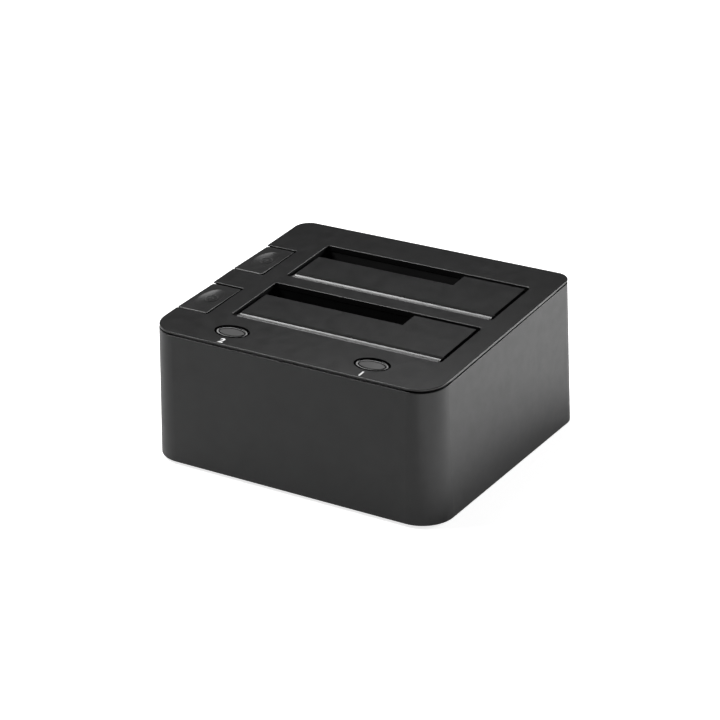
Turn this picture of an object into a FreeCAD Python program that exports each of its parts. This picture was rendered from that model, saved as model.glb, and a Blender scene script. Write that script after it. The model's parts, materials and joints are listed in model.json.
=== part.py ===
"""Desktop docking station that holds two bare hard drives upright, each behind a sprung flap.

Millimetres. X runs to the right, Y to the back and Z up; the origin is on the table under
the middle of the case. The cover slopes up to the back, and what is fixed to it is
modelled flat, in the cover's own frame, and then tilted.
"""

import FreeCAD, Part
import math
import os
import re

import Sketcher
from FreeCAD import Placement, Rotation, Vector

# Driving dimensions

SIZES = {
    # Case: a rounded box that narrows upwards, measured at its bottom edge
    "case_width": 147.5,
    "case_depth": 129.2,
    "front_corner": 14.8,
    "rear_corner": 9.5,
    "case_wall": 2.2,
    "draft_angle": 1.9,
    "foot_proud": 1.3,
    "bottom_round": 0.6,
    "rim_round": 0.3,
    "top_height": 67.0,
    "top_slope": 3.5,
    "boss_side_inset": 12.75,
    "boss_end_inset": 12.1,
    "boss_radius": 3.6,
    "screw_bore": 1.25,
    "rib_wall": 1.4,
    # Top cover
    "cover_edge": 0.7,
    "seam_gap": 1.0,
    "seam_depth": 1.1,
    "cover_thickness": 2.6,
    "edge_round": 0.3,
    "skirt_height": 3.0,
    "skirt_wall": 1.0,
    "skirt_gap": 0.3,
    # Drive bays, one behind the other
    "bay_left_margin": 28.25,
    "bay_right_margin": 13.4,
    "bay_front_margin": 28.05,
    "bay_rear_margin": 21.35,
    "bay_between": 8.2,
    "bay_corner": 1.5,
    # Flap over each bay, with a slot behind it for a thin drive
    "flap_recess": 1.0,
    "flap_left_gap": 1.8,
    "flap_right_gap": 2.65,
    "flap_back_gap": 0.6,
    "nose_radius": 3.0,
    "nose_gap": 0.6,
    "flap_thickness": 2.2,
    "flap_round": 0.25,
    "flap_rib": 1.2,
    "flap_rib_depth": 1.6,
    "thin_slot_width": 72.5,
    "thin_slot_depth": 10.7,
    "hub_radius": 2.2,
    "hub_end_gap": 0.3,
    "hinge_pin_radius": 1.0,
    "pin_clearance": 0.05,
    "pin_head_radius": 1.3,
    "pin_head_length": 0.9,
    # Torsion spring of a flap
    "flap_spring_place": 34.0,
    "flap_spring_room": 7.0,
    "flap_spring_radius": 1.45,
    "flap_spring_wire": 0.5,
    "flap_spring_turns": 5,
    "flap_spring_leg": 8.0,
    "flap_spring_foot": 3.9,
    "flap_spring_spread": 1.15,
    "wall_over_spring": 0.9,
    # Well that guides a drive down to its connector
    "well_gap": 0.3,
    "well_wall": 1.6,
    "well_top_gap": 0.3,
    "well_floor": 14.5,
    "well_floor_thickness": 1.6,
    "leg_radius": 3.2,
    "leg_side_inset": 8.9,
    "leg_front_inset": 3.9,
    "leg_inner": 2.9,
    # Eject pads in the left edge of the cover
    "pad_width": 15.7,
    "pad_length": 27.8,
    "pad_ahead": 7.95,
    "pad_gap": 0.35,
    "pad_thickness": 2.4,
    "pad_skirt": 13.5,
    "pad_skirt_wall": 1.6,
    "pad_rim": 3.6,
    "pad_corner": 1.2,
    "pad_slope": 2.3,
    "pad_round": 0.3,
    "dish_length": 19.6,
    "dish_width": 10.6,
    "dish_depth": 1.0,
    "eject_travel": 4.0,
    "notch_spare": 0.6,
    "stem_radius": 2.5,
    "stem_clearance": 0.15,
    "stem_back": 5.6,
    "stem_foot_radius": 1.5,
    "stem_foot_length": 4.0,
    "shelf_height": 46.0,
    "shelf_thickness": 2.0,
    "shelf_width": 12.0,
    "guide_radius": 4.2,
    "guide_length": 7.0,
    "stop_radius": 3.5,
    "stop_thickness": 1.2,
    "stop_gap": 0.3,
    "eject_spring_radius": 3.5,
    "eject_spring_wire": 0.8,
    "eject_spring_turns": 6,
    "eject_spring_end_gap": 0.2,
    # Lever that lifts a drive off its connector
    "lever_height": 18.0,
    "lever_reach": 10.0,
    "lever_outer": 12.0,
    "lever_inner": 17.5,
    "lever_thickness": 3.0,
    "lever_crown": 1.2,
    "lever_touch_gap": 0.2,
    "lever_tube_radius": 2.6,
    "lever_socket_gap": 0.55,
    "lever_tube_length": 16.0,
    "outer_arm_width": 6.0,
    "inner_arm_width": 2.4,
    "lever_pin_radius": 1.0,
    "ear_thickness": 1.8,
    "ear_gap": 0.3,
    "ear_radius": 3.2,
    "window_top": 23.0,
    # Connector at the bottom of a bay
    "socket_width": 42.0,
    "socket_depth": 5.2,
    "socket_top": 19.5,
    "socket_left": 1.9,
    "socket_back": 2.0,
    "socket_gap": 0.6,
    "power_slot": 20.6,
    "data_slot": 10.6,
    "blade_slot": 1.7,
    "blade_slot_depth": 6.0,
    "contact_pitch": 1.27,
    "contact_width": 0.5,
    "contact_thickness": 0.25,
    "contact_height": 5.0,
    # Main board and what it carries
    "board_bottom": 7.5,
    "board_thickness": 1.6,
    "board_left_margin": 21.75,
    "board_right_margin": 10.75,
    "board_start": 6.65,
    "post_radius": 3.2,
    "chip_height": 1.0,
    "capacitor_radius": 3.2,
    "capacitor_height": 11.0,
    "capacitor_pitch": 8.5,
    "capacitor_back": 8.0,
    # Base plate
    "base_gap": 0.25,
    "base_thickness": 2.2,
    "vent_width": 2.4,
    "vent_margin": 4.9,
    "vent_spread": 48.0,
    "vent_count": 9,
    "foot_radius": 6.0,
    "foot_clearance": 0.1,
    "foot_recess": 0.8,
    "foot_side_inset": 12.75,
    "foot_end_inset": 21.6,
    "screw_head_radius": 2.7,
    "screw_head_height": 1.1,
    "screw_radius": 1.2,
    "screw_length": 9.0,
    "screw_hole_radius": 1.6,
    # Sunk panel at the back with the sockets and the switch
    "panel_width": 90.0,
    "panel_right_margin": 13.75,
    "panel_bottom": 6.0,
    "panel_top": 36.0,
    "panel_sunk": 2.4,
    "panel_thickness": 1.8,
    "port_gap": 0.15,
    "usb_inset": 72.0,
    "usb_width": 12.3,
    "usb_height": 11.0,
    "usb_depth": 15.0,
    "usb_shell": 0.6,
    "usb_mouth": 8.5,
    "usb_tongue_width": 5.6,
    "usb_tongue_height": 3.2,
    "jack_inset": 45.0,
    "jack_width": 9.0,
    "jack_height": 11.0,
    "jack_depth": 14.0,
    "jack_bore": 3.2,
    "jack_bore_depth": 9.5,
    "jack_pin": 1.0,
    "rocker_inset": 16.0,
    "rocker_height": 22.0,
    "bezel_width": 15.0,
    "bezel_height": 20.5,
    "bezel_thickness": 1.4,
    "switch_width": 12.8,
    "switch_body_height": 18.6,
    "switch_depth": 10.5,
    "rocker_width": 9.4,
    "rocker_length": 14.2,
    "rocker_gap": 0.3,
    "rocker_tilt": 9.0,
    "rocker_depth": 6.0,
    "rocker_axle": 1.0,
    # Oval power buttons in the front strip, each in a lit ring; half lengths along and across
    "button_side": 35.4,
    "button_back": 13.95,
    "button_half_length": 6.25,
    "button_half_width": 3.3,
    "button_gap": 0.3,
    "button_sunk": 0.35,
    "button_round": 0.3,
    "ring_wall": 1.05,
    "ring_gap": 0.45,
    "ring_sunk": 0.3,
    "ring_round": 0.25,
    "ring_flange": 0.9,
    "ring_flange_thickness": 1.2,
    "button_flange": 0.8,
    "button_flange_thickness": 1.0,
    "button_flange_gap": 0.3,
    "button_stem": 2.0,
    "button_board_drop": 13.0,
    "button_board_thickness": 1.6,
    "button_board_side": 46.0,
    "button_board_back": 5.6,
    "button_board_depth": 17.0,
    "tact_size": 6.0,
    "tact_height": 3.6,
    "tact_plunger": 1.75,
    "tact_plunger_height": 1.0,
    "press_gap": 0.7,
    "led_width": 1.6,
    "led_length": 3.5,
    "led_height": 0.8,
    "cover_post_side": 17.0,
    # Flat cable from the button board to the main board
    "ribbon_x": 16.0,
    "ribbon_width": 10.0,
    "ribbon_thickness": 0.6,
    "ribbon_height": 10.9,
    "ribbon_bend": 6.0,
    "header_width": 13.0,
    "header_depth": 4.5,
    "header_height": 3.0,
}

# Places worked out from them

PLACES = {
    "tall": "top_height + case_depth",
    "seam_drop": "cover_edge + seam_gap",
    "front_height": "top_height - foot_proud - case_depth / 2 * tan(top_slope)",
    "rear_height": "top_height - foot_proud + case_depth / 2 * tan(top_slope)",
    "cover_side": "case_width / 2 - (top_height - foot_proud) * tan(draft_angle)",
    "cover_front": "(case_depth / 2 - front_height * tan(draft_angle)) / cos(top_slope)",
    "cover_rear": "(case_depth / 2 - rear_height * tan(draft_angle)) / cos(top_slope)",
    "cover_front_corner": "front_corner - front_height * tan(draft_angle)",
    "cover_rear_corner": "rear_corner - rear_height * tan(draft_angle)",
    "bay_width": "case_width - bay_left_margin - bay_right_margin",
    "bay_depth": "(case_depth - bay_front_margin - bay_between - bay_rear_margin) / 2",
    "bay_right": "(bay_left_margin - bay_right_margin) / 2",
    "bay_left_edge": "bay_right - bay_width / 2",
    "bay_right_edge": "bay_right + bay_width / 2",
    "front_bay_y": "-case_depth / 2 + bay_front_margin + bay_depth / 2",
    "rear_bay_y": "front_bay_y + bay_depth + bay_between",
    "axle_ahead": "bay_depth / 2 - nose_gap - nose_radius",
    "axle_drop": "flap_recess + nose_radius",
    "flap_left": "flap_left_gap - bay_width / 2",
    "flap_right": "bay_width / 2 - flap_right_gap",
    "flap_width": "flap_right - flap_left",
    "flap_reach": "bay_depth - nose_gap - nose_radius - flap_back_gap",
    "slot_reach": "bay_depth - nose_gap - nose_radius - thin_slot_depth",
    "well_left": "bay_left_edge - well_gap - well_wall",
    "well_under": "well_floor - well_floor_thickness",
    "leg_side": "bay_width / 2 - leg_side_inset",
    "leg_ahead": "bay_depth / 2 - leg_front_inset",
    "board_top": "board_bottom + board_thickness",
    "board_front": "front_bay_y + board_start",
    "pad_left": "-cover_side",
    "pad_right": "pad_left + pad_width",
    "pad_rise": "pad_length * tan(pad_slope)",
    "dish_long_radius": "(dish_length * dish_length / 4 + dish_depth * dish_depth) / (2 * dish_depth)",
    "dish_cross_radius": "(dish_width * dish_width / 4 + dish_depth * dish_depth) / (2 * dish_depth)",
    "stem_x": "pad_left + pad_width / 2",
    "notch_depth": "pad_skirt + eject_travel + notch_spare",
    "lever_x": "stem_x + lever_reach",
    "stem_tip": "lever_height + lever_crown + lever_touch_gap",
    "shelf_top": "shelf_height + shelf_thickness",
    "socket_x": "bay_left_edge + socket_left + socket_width / 2",
    "socket_rear": "bay_depth / 2 - socket_back",
    "panel_face": "case_depth / 2 - panel_sunk",
    "panel_inner": "panel_face - panel_thickness",
    "panel_right": "case_width / 2 - panel_right_margin",
    "panel_left": "panel_right - panel_width",
    "usb_x": "panel_right - usb_inset",
    "jack_x": "panel_right - jack_inset",
    "rocker_x": "panel_right - rocker_inset",
    "board_back": "panel_inner - port_gap",
    "board_left": "-case_width / 2 + board_left_margin",
    "board_right": "case_width / 2 - board_right_margin",
    "corner_boss_x": "case_width / 2 - boss_side_inset",
    "corner_boss_y": "case_depth / 2 - boss_end_inset",
    "foot_x": "case_width / 2 - foot_side_inset",
    "foot_y": "case_depth / 2 - foot_end_inset",
    "vent_length": "bay_depth - 2 * vent_margin",
    "base_top": "foot_proud + base_thickness",
    "button_ahead": "case_depth / 2 - button_back",
    "ring_bore_length": "button_half_length + button_gap",
    "ring_bore_width": "button_half_width + button_gap",
    "ring_length": "ring_bore_length + ring_wall",
    "ring_width": "ring_bore_width + ring_wall",
    "ring_under": "cover_thickness + ring_flange_thickness",
    "button_flange_top": "ring_under + button_flange_gap",
    "button_board_top": "button_board_drop - button_board_thickness",
    "button_board_ahead": "case_depth / 2 - button_board_back",
    "ribbon_ahead": "button_board_ahead - button_board_depth",
    "tact_tip": "button_board_top - tact_height - tact_plunger_height",
    "flap_spring_at": "bay_right + flap_spring_place",
}

document = FreeCAD.newDocument("DockingStation")
NODES = []


def write_sheet(name, cells):
    """Fill a new sheet with one alias and one cell for each entry."""
    sheet = document.addObject("Spreadsheet::Sheet", name)
    for row, (alias, content) in enumerate(cells.items(), start=1):
        sheet.set(f"A{row}", alias)
        sheet.set(f"B{row}", str(content))
        sheet.setAlias(f"B{row}", alias)
    document.recompute()
    return sheet


def full(text):
    """Put the sheet's name before each alias in an expression."""

    def prefix(match):
        word = match.group()
        if word in SIZES:
            return "Sizes." + word
        if word in PLACES:
            return "Places." + word
        return word

    return re.sub(r"[a-z_]+", prefix, text)


write_sheet("Sizes", SIZES)
places = write_sheet("Places", {alias: "=" + full(text) for alias, text in PLACES.items()})


def value(text):
    return float(places.evalExpression(full(text)))


def bind(item, name, text):
    item.setExpression(name, full(text))


def place(item, x, y, z):
    for letter, text in zip("xyz", (x, y, z)):
        bind(item, f"Placement.Base.{letter}", text)


def node(item, label):
    """Name a finished sub-part and keep it for the export."""
    item.Label = label
    NODES.append(item)
    return item


# Sketches

def body(label):
    return node(document.addObject("PartDesign::Body", label), label)


def tilt(piece, x, y, drop):
    """Set a piece in the cover's frame: x right, y back along the slope, drop below its top."""
    piece.Placement = Placement(Vector(), Rotation(Vector(1, 0, 0), value("top_slope")))
    bind(piece, "Placement.Rotation.Angle", "top_slope")
    place(
        piece,
        x,
        f"({y}) * cos(top_slope) + ({drop}) * sin(top_slope)",
        f"top_height + ({y}) * sin(top_slope) - ({drop}) * cos(top_slope)",
    )


def origin_plane(piece, role):
    return next(item for item in piece.Origin.OriginFeatures if item.Role == role)


def sketch(piece, role, offset="0"):
    drawing = piece.newObject("Sketcher::SketchObject", piece.Label + "_sketch")
    drawing.AttachmentSupport = (origin_plane(piece, role), [""])
    drawing.MapMode = "FlatFace"
    bind(drawing, "AttachmentOffset.Base.z", offset)
    return drawing


def dimension(drawing, kind, where, text):
    index = drawing.addConstraint(Sketcher.Constraint(kind, *where, value(text)))
    drawing.setExpression(f"Constraints[{index}]", full(text))


def polygon(drawing, corners):
    """Closed outline through corners, each a pair of expressions."""
    points = [Vector(value(x), value(y), 0) for x, y in corners]
    first = drawing.GeometryCount
    count = len(points)
    for index in range(count):
        drawing.addGeometry(Part.LineSegment(points[index], points[(index + 1) % count]), False)
    for index in range(count):
        after = first + (index + 1) % count
        drawing.addConstraint(Sketcher.Constraint("Coincident", first + index, 2, after, 1))
    for index, (x, y) in enumerate(corners):
        dimension(drawing, "DistanceX", (-1, 1, first + index, 1), x)
        dimension(drawing, "DistanceY", (-1, 1, first + index, 1), y)


def rectangle(drawing, x, y):
    polygon(drawing, [(x[0], y[0]), (x[1], y[0]), (x[1], y[1]), (x[0], y[1])])


def circle(drawing, x, y, radius):
    centre = Vector(value(x), value(y), 0)
    index = drawing.addGeometry(Part.Circle(centre, Vector(0, 0, 1), value(radius)), False)
    dimension(drawing, "DistanceX", (-1, 1, index, 3), x)
    dimension(drawing, "DistanceY", (-1, 1, index, 3), y)
    dimension(drawing, "Radius", (index,), radius)


def oval(drawing, x, half_length, y, half_width):
    """Ellipse with its long axis along x."""
    centre = Vector(value(x), value(y), 0)
    outline = Part.Ellipse(centre, value(half_length), value(half_width))
    index = drawing.addGeometry(outline, False)
    drawing.exposeInternalGeometry(index)
    dimension(drawing, "DistanceX", (-1, 1, index, 3), x)
    dimension(drawing, "DistanceY", (-1, 1, index, 3), y)
    drawing.addConstraint(Sketcher.Constraint("Horizontal", index + 1))
    dimension(drawing, "Distance", (index + 1,), f"2 * ({half_length})")
    dimension(drawing, "Distance", (index + 2,), f"2 * ({half_width})")


def rounded(drawing, x, y, front, rear):
    """Rectangle with one radius at its two front corners and one at its two rear corners."""
    left, right = value(x[0]), value(x[1])
    low, high = value(y[0]), value(y[1])
    near, far = value(front), value(rear)
    corners = [
        (right - near, low + near, near, 270),
        (right - far, high - far, far, 0),
        (left + far, high - far, far, 90),
        (left + near, low + near, near, 180),
    ]
    arcs = []
    for across, along, radius, start in corners:
        round_edge = Part.Circle(Vector(across, along, 0), Vector(0, 0, 1), radius)
        arcs.append(Part.ArcOfCircle(round_edge, math.radians(start), math.radians(start + 90)))
    first = drawing.GeometryCount
    for index, arc in enumerate(arcs):
        drawing.addGeometry(Part.LineSegment(arcs[index - 1].EndPoint, arc.StartPoint), False)
        drawing.addGeometry(arc, False)
    for index in range(8):
        after = first + (index + 1) % 8
        drawing.addConstraint(Sketcher.Constraint("Tangent", first + index, 2, after, 1))
    for index in (0, 4):
        drawing.addConstraint(Sketcher.Constraint("Horizontal", first + index))
        drawing.addConstraint(Sketcher.Constraint("Vertical", first + index + 2))
    dimension(drawing, "DistanceY", (-1, 1, first, 1), y[0])
    dimension(drawing, "DistanceX", (-1, 1, first + 2, 1), x[1])
    dimension(drawing, "DistanceY", (-1, 1, first + 4, 1), y[1])
    dimension(drawing, "DistanceX", (-1, 1, first + 6, 1), x[0])
    for index, radius in ((1, front), (3, rear), (5, rear), (7, front)):
        dimension(drawing, "Radius", (first + index,), radius)


# Features

def feature(piece, kind, drawing, **texts):
    """Pad, pocket, revolution or groove of a sketch, with its sizes bound."""
    item = piece.newObject("PartDesign::" + kind, piece.Label + "_" + kind.lower())
    item.Profile = drawing
    for name, text in texts.items():
        bind(item, name, text)
    return item


def pad(piece, drawing, length, down=False, taper=None):
    item = feature(piece, "Pad", drawing, Length=length)
    item.Reversed = down
    if taper:
        bind(item, "TaperAngle", taper)
    return item


def pocket(piece, drawing, length=None, up=False, taper=None):
    """Cut a sketch away from its plane down, or up, or both ways through everything."""
    item = feature(piece, "Pocket", drawing)
    if length:
        bind(item, "Length", length)
        item.Reversed = up
    else:
        item.Type = "ThroughAll"
        item.Midplane = True
    if taper:
        bind(item, "TaperAngle", taper)
    return item


def turn_profile(piece, drawing):
    item = feature(piece, "Revolution", drawing)
    item.ReferenceAxis = (drawing, ["V_Axis"])
    item.Angle = 360
    return item


def round_edges(piece, radius, chosen):
    """Round every edge of the faces of a piece that are chosen by their bounds."""
    document.recompute()
    last = piece.Tip
    faces = enumerate(last.Shape.Faces, start=1)
    names = [f"Face{index}" for index, face in faces if chosen(face.BoundBox)]
    rounding = piece.newObject("PartDesign::Fillet", piece.Label + "_rounding")
    rounding.Base = (last, names)
    bind(rounding, "Radius", radius)
    return rounding


def round_top(piece, radius):
    """Round the edges of the faces of a piece that lie at or above its own zero."""
    level = -value(radius) / 2
    return round_edges(piece, radius, lambda bounds: bounds.ZMin > level)


TURNS = {
    "X": Rotation(Vector(0, 1, 0), 90),
    "Y": Rotation(Vector(1, 0, 0), -90),
    "Z": Rotation(),
}


def size_block(item, x, y, z):
    for name, (low, high) in zip(("Length", "Width", "Height"), (x, y, z)):
        bind(item, name, f"({high}) - ({low})")
    place(item, x[0], y[0], z[0])


def size_rod(item, axis, at, radius, length):
    item.Placement = Placement(Vector(), TURNS[axis])
    bind(item, "Radius", radius)
    bind(item, "Height", length)
    place(item, *at)


def add_block(piece, x, y, z):
    size_block(piece.newObject("PartDesign::AdditiveBox", piece.Label + "_block"), x, y, z)


def cut_block(piece, x, y, z):
    size_block(piece.newObject("PartDesign::SubtractiveBox", piece.Label + "_cut"), x, y, z)


def add_rod(piece, axis, at, radius, length):
    rod_feature = piece.newObject("PartDesign::AdditiveCylinder", piece.Label + "_rod")
    size_rod(rod_feature, axis, at, radius, length)


def cut_rod(piece, axis, at, radius, length):
    rod_feature = piece.newObject("PartDesign::SubtractiveCylinder", piece.Label + "_bore")
    size_rod(rod_feature, axis, at, radius, length)


def block(x, y, z):
    item = document.addObject("Part::Box", "Block")
    size_block(item, x, y, z)
    return item


def rod(axis, at, radius, length):
    item = document.addObject("Part::Cylinder", "Rod")
    size_rod(item, axis, at, radius, length)
    return item


def fuse(items):
    item = document.addObject("Part::MultiFuse", "Fusion")
    item.Shapes = items
    return item


def cut(base, tool):
    item = document.addObject("Part::Cut", "Difference")
    item.Base = base
    item.Tool = tool
    return item


def group(label, items):
    """Several separate solids of one kind under one name."""
    item = document.addObject("Part::Compound", label)
    item.Links = items
    return node(item, label)


def span(middle, size):
    """Low and high ends of a size about its middle."""
    return f"{middle} - ({size}) / 2", f"{middle} + ({size}) / 2"


# Case

def case_outline(drawing, inset):
    """Outline of the case at its bottom edge, moved inwards."""
    rounded(
        drawing,
        (f"-case_width / 2 + {inset}", f"case_width / 2 - ({inset})"),
        (f"-case_depth / 2 + {inset}", f"case_depth / 2 - ({inset})"),
        f"front_corner - ({inset})",
        f"rear_corner - ({inset})",
    )


def cover_outline(drawing, inset):
    """Outline of the case where it meets the cover, in the cover's frame, moved inwards."""
    rounded(
        drawing,
        (f"-cover_side + {inset}", f"cover_side - ({inset})"),
        (f"-cover_front + {inset}", f"cover_rear - ({inset})"),
        f"cover_front_corner - ({inset})",
        f"cover_rear_corner - ({inset})",
    )


def slope_cut(piece, drop, reach="case_depth"):
    """Cut away all that lies above a plane parallel to the cover's top and drop below it."""
    drawing = sketch(piece, "YZ_Plane")
    level = f"top_height - ({drop}) / cos(top_slope)"
    polygon(
        drawing,
        [
            (f"-({reach})", f"{level} - ({reach}) * tan(top_slope)"),
            (reach, f"{level} + ({reach}) * tan(top_slope)"),
            (reach, "2 * tall"),
            (f"-({reach})", "2 * tall"),
        ],
    )
    pocket(piece, drawing)


def outer_shell():
    shell = body("outer_shell")
    outline = sketch(shell, "XY_Plane", "foot_proud")
    case_outline(outline, "0")
    pad(shell, outline, "tall", taper="-draft_angle")
    low = value("foot_proud + bottom_round")
    round_edges(shell, "bottom_round", lambda bounds: bounds.ZMax < low)
    inside = sketch(shell, "XY_Plane", "foot_proud")
    case_outline(inside, "case_wall")
    pocket(shell, inside, "tall + foot_proud", up=True, taper="-draft_angle")
    # Thicker wall behind the sunk panel for the sockets
    add_block(
        shell,
        ("panel_left - rib_wall", "panel_right + rib_wall"),
        ("panel_inner", "case_depth / 2 - case_wall"),
        ("panel_bottom - rib_wall", "panel_top + rib_wall"),
    )
    cut_block(
        shell,
        ("panel_left", "panel_right"),
        ("panel_face", "case_depth"),
        ("panel_bottom", "panel_top"),
    )
    for x, width, low, high in (
        ("usb_x", "usb_width", "board_top", "board_top + usb_height"),
        ("jack_x", "jack_width", "board_top", "board_top + jack_height"),
        (
            "rocker_x",
            "switch_width",
            "rocker_height - switch_body_height / 2",
            "rocker_height + switch_body_height / 2",
        ),
    ):
        cut_block(
            shell,
            span(x, f"{width} + 2 * port_gap"),
            ("panel_inner - case_wall", "case_depth"),
            (f"{low} - port_gap", f"{high} + port_gap"),
        )
    # Screw bosses in the corners, each tied to the side wall by a rib
    for side in (-1, 1):
        for end in (-1, 1):
            at = (f"{side} * corner_boss_x", f"{end} * corner_boss_y")
            add_rod(shell, "Z", (*at, "base_top"), "boss_radius", "screw_length + boss_radius")
            edges = [f"{side} * corner_boss_x", f"{side} * (case_width / 2 - case_wall / 2)"]
            edges.sort(key=value)
            height = ("base_top", "base_top + screw_length + boss_radius")
            add_block(shell, tuple(edges), span(at[1], "rib_wall"), height)
            cut_rod(shell, "Z", (*at, "0"), "screw_bore", "base_top + screw_length")
    # Room for the two eject pads in the left wall
    for bay in ("front", "rear"):
        middle = f"{bay}_bay_y - pad_ahead"
        cut_block(
            shell,
            ("-case_width", "pad_left + case_wall + case_wall"),
            span(middle, "pad_length + 2 * pad_gap"),
            (f"top_height + ({middle} - pad_length / 2) * tan(top_slope) - notch_depth", "tall"),
        )
    slope_cut(shell, "seam_drop")
    high = value("front_height - foot_proud")
    round_edges(shell, "rim_round", lambda bounds: bounds.ZMin > high)
    return shell


def top_cover():
    cover = body("top_cover")
    tilt(cover, "0", "0", "0")
    rim = sketch(cover, "XY_Plane")
    cover_outline(rim, "0")
    pad(cover, rim, "cover_edge", down=True)
    neck = sketch(cover, "XY_Plane", "-cover_edge")
    cover_outline(neck, "seam_depth")
    pad(cover, neck, "seam_gap", down=True)
    skirt = sketch(cover, "XY_Plane", "-seam_drop")
    cover_outline(skirt, "case_wall + skirt_gap")
    pad(cover, skirt, "skirt_height", down=True)
    hollow = sketch(cover, "XY_Plane", "-cover_thickness")
    cover_outline(hollow, "case_wall + skirt_gap + skirt_wall")
    pocket(cover, hollow, "cover_thickness + skirt_height")
    # Bay openings
    bays = sketch(cover, "XY_Plane")
    for bay in ("front", "rear"):
        rounded(
            bays,
            ("bay_left_edge", "bay_right_edge"),
            span(f"{bay}_bay_y", "bay_depth"),
            "bay_corner",
            "bay_corner",
        )
    pocket(cover, bays)
    # Notches for the eject pads, open to the left
    for bay in ("front", "rear"):
        cut_block(
            cover,
            ("-case_width", "pad_right + pad_gap"),
            span(f"{bay}_bay_y - pad_ahead", "pad_length + 2 * pad_gap"),
            ("-case_wall - cover_thickness - skirt_height", "cover_thickness"),
        )
    # Oval holes for the power buttons
    holes = sketch(cover, "XY_Plane")
    for side in (-1, 1):
        x = f"{side} * button_side"
        oval(holes, x, "ring_length + ring_gap", "-button_ahead", "ring_width + ring_gap")
    pocket(cover, holes)
    round_top(cover, "edge_round")
    # Posts that the button board is screwed to
    for side in (-1, 1):
        at = (f"{side} * cover_post_side", "-button_ahead", "-button_board_top")
        add_rod(cover, "Z", at, "post_radius", "button_board_top - cover_thickness / 2")
        cut_rod(cover, "Z", at, "screw_bore", "button_board_top - cover_thickness")
    return cover


def base_plate():
    plate = body("base_plate")
    outline = sketch(plate, "XY_Plane", "foot_proud")
    case_outline(outline, "case_wall + base_gap")
    pad(plate, outline, "base_thickness")
    # Recesses that the feet are glued into
    recesses = sketch(plate, "XY_Plane", "foot_proud")
    for x, y in FEET.values():
        circle(recesses, x, y, "foot_radius + foot_clearance")
    pocket(plate, recesses, "foot_recess", up=True)
    # Posts for the board and the wells, and sunk holes for the screws
    for level in ("board_bottom", "board_top"):
        columns = sketch(plate, "XY_Plane", "foot_proud + base_thickness / 2")
        for x, y, top in posts():
            if top == level:
                circle(columns, x, y, "post_radius")
        pad(plate, columns, f"{level} - foot_proud - base_thickness / 2")
    screws = [*corner_screws(), *((x, y) for x, y, top in posts())]
    holes = sketch(plate, "XY_Plane")
    heads = sketch(plate, "XY_Plane", "foot_proud")
    for x, y in screws:
        circle(holes, x, y, "screw_hole_radius")
        circle(heads, x, y, "screw_head_radius + foot_clearance")
    pocket(plate, holes)
    pocket(plate, heads, "screw_head_height", up=True)
    # Vent slots below both bays
    slots = sketch(plate, "XY_Plane")
    for bay in ("front", "rear"):
        x = span("bay_right - vent_spread / 2", "vent_width")
        rectangle(slots, x, span(f"{bay}_bay_y", "vent_length"))
    first = pocket(plate, slots)
    row = plate.newObject("PartDesign::LinearPattern", "Vent_row")
    row.Originals = [first]
    row.Direction = (slots, ["H_Axis"])
    bind(row, "Length", "vent_spread")
    bind(row, "Occurrences", "vent_count")
    plate.Tip = row
    return plate


FEET = {
    "foot_front_left": ("-foot_x", "-foot_y"),
    "foot_front_right": ("foot_x", "-foot_y"),
    "foot_rear_left": ("-foot_x", "foot_y"),
    "foot_rear_right": ("foot_x", "foot_y"),
}


def corner_screws():
    """Middle of each screw that holds the base plate to the case."""
    for side in (-1, 1):
        for end in (-1, 1):
            yield f"{side} * corner_boss_x", f"{end} * corner_boss_y"


def legs(bay):
    """Middle of each leg of a well, and the height that it stands on."""
    for x, y in (
        ("-leg_side", "-leg_ahead"),
        ("leg_side", "-leg_ahead"),
        ("-leg_inner", "leg_ahead"),
        ("leg_side", "leg_ahead"),
    ):
        yield f"bay_right + {x}", f"{bay}_bay_y + {y}"


def posts():
    """Middle and top of each post of the base plate: under the board or straight under a leg."""
    for bay in ("front", "rear"):
        for x, y in legs(bay):
            yield x, y, "board_bottom" if value(y) > value("board_front") else "board_top"


def screw(x, y, z):
    """Screw with its head downwards, its head's underside at height z."""
    head = rod("Z", (x, y, z), "screw_head_radius", "screw_head_height")
    shank = rod("Z", (x, y, z), "screw_radius", "screw_head_height + screw_length")
    return fuse([head, shank])


def feet():
    for label, (x, y) in FEET.items():
        foot = body(label)
        drawing = sketch(foot, "XZ_Plane")
        top = "foot_proud + foot_recess"
        polygon(
            drawing,
            [
                ("0", "0"),
                ("foot_radius - foot_recess / 2", "0"),
                ("foot_radius", "foot_recess / 2"),
                ("foot_radius", top),
                ("0", top),
            ],
        )
        turn_profile(foot, drawing)
        place(foot, x, y, "0")


# Drive wells

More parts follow.
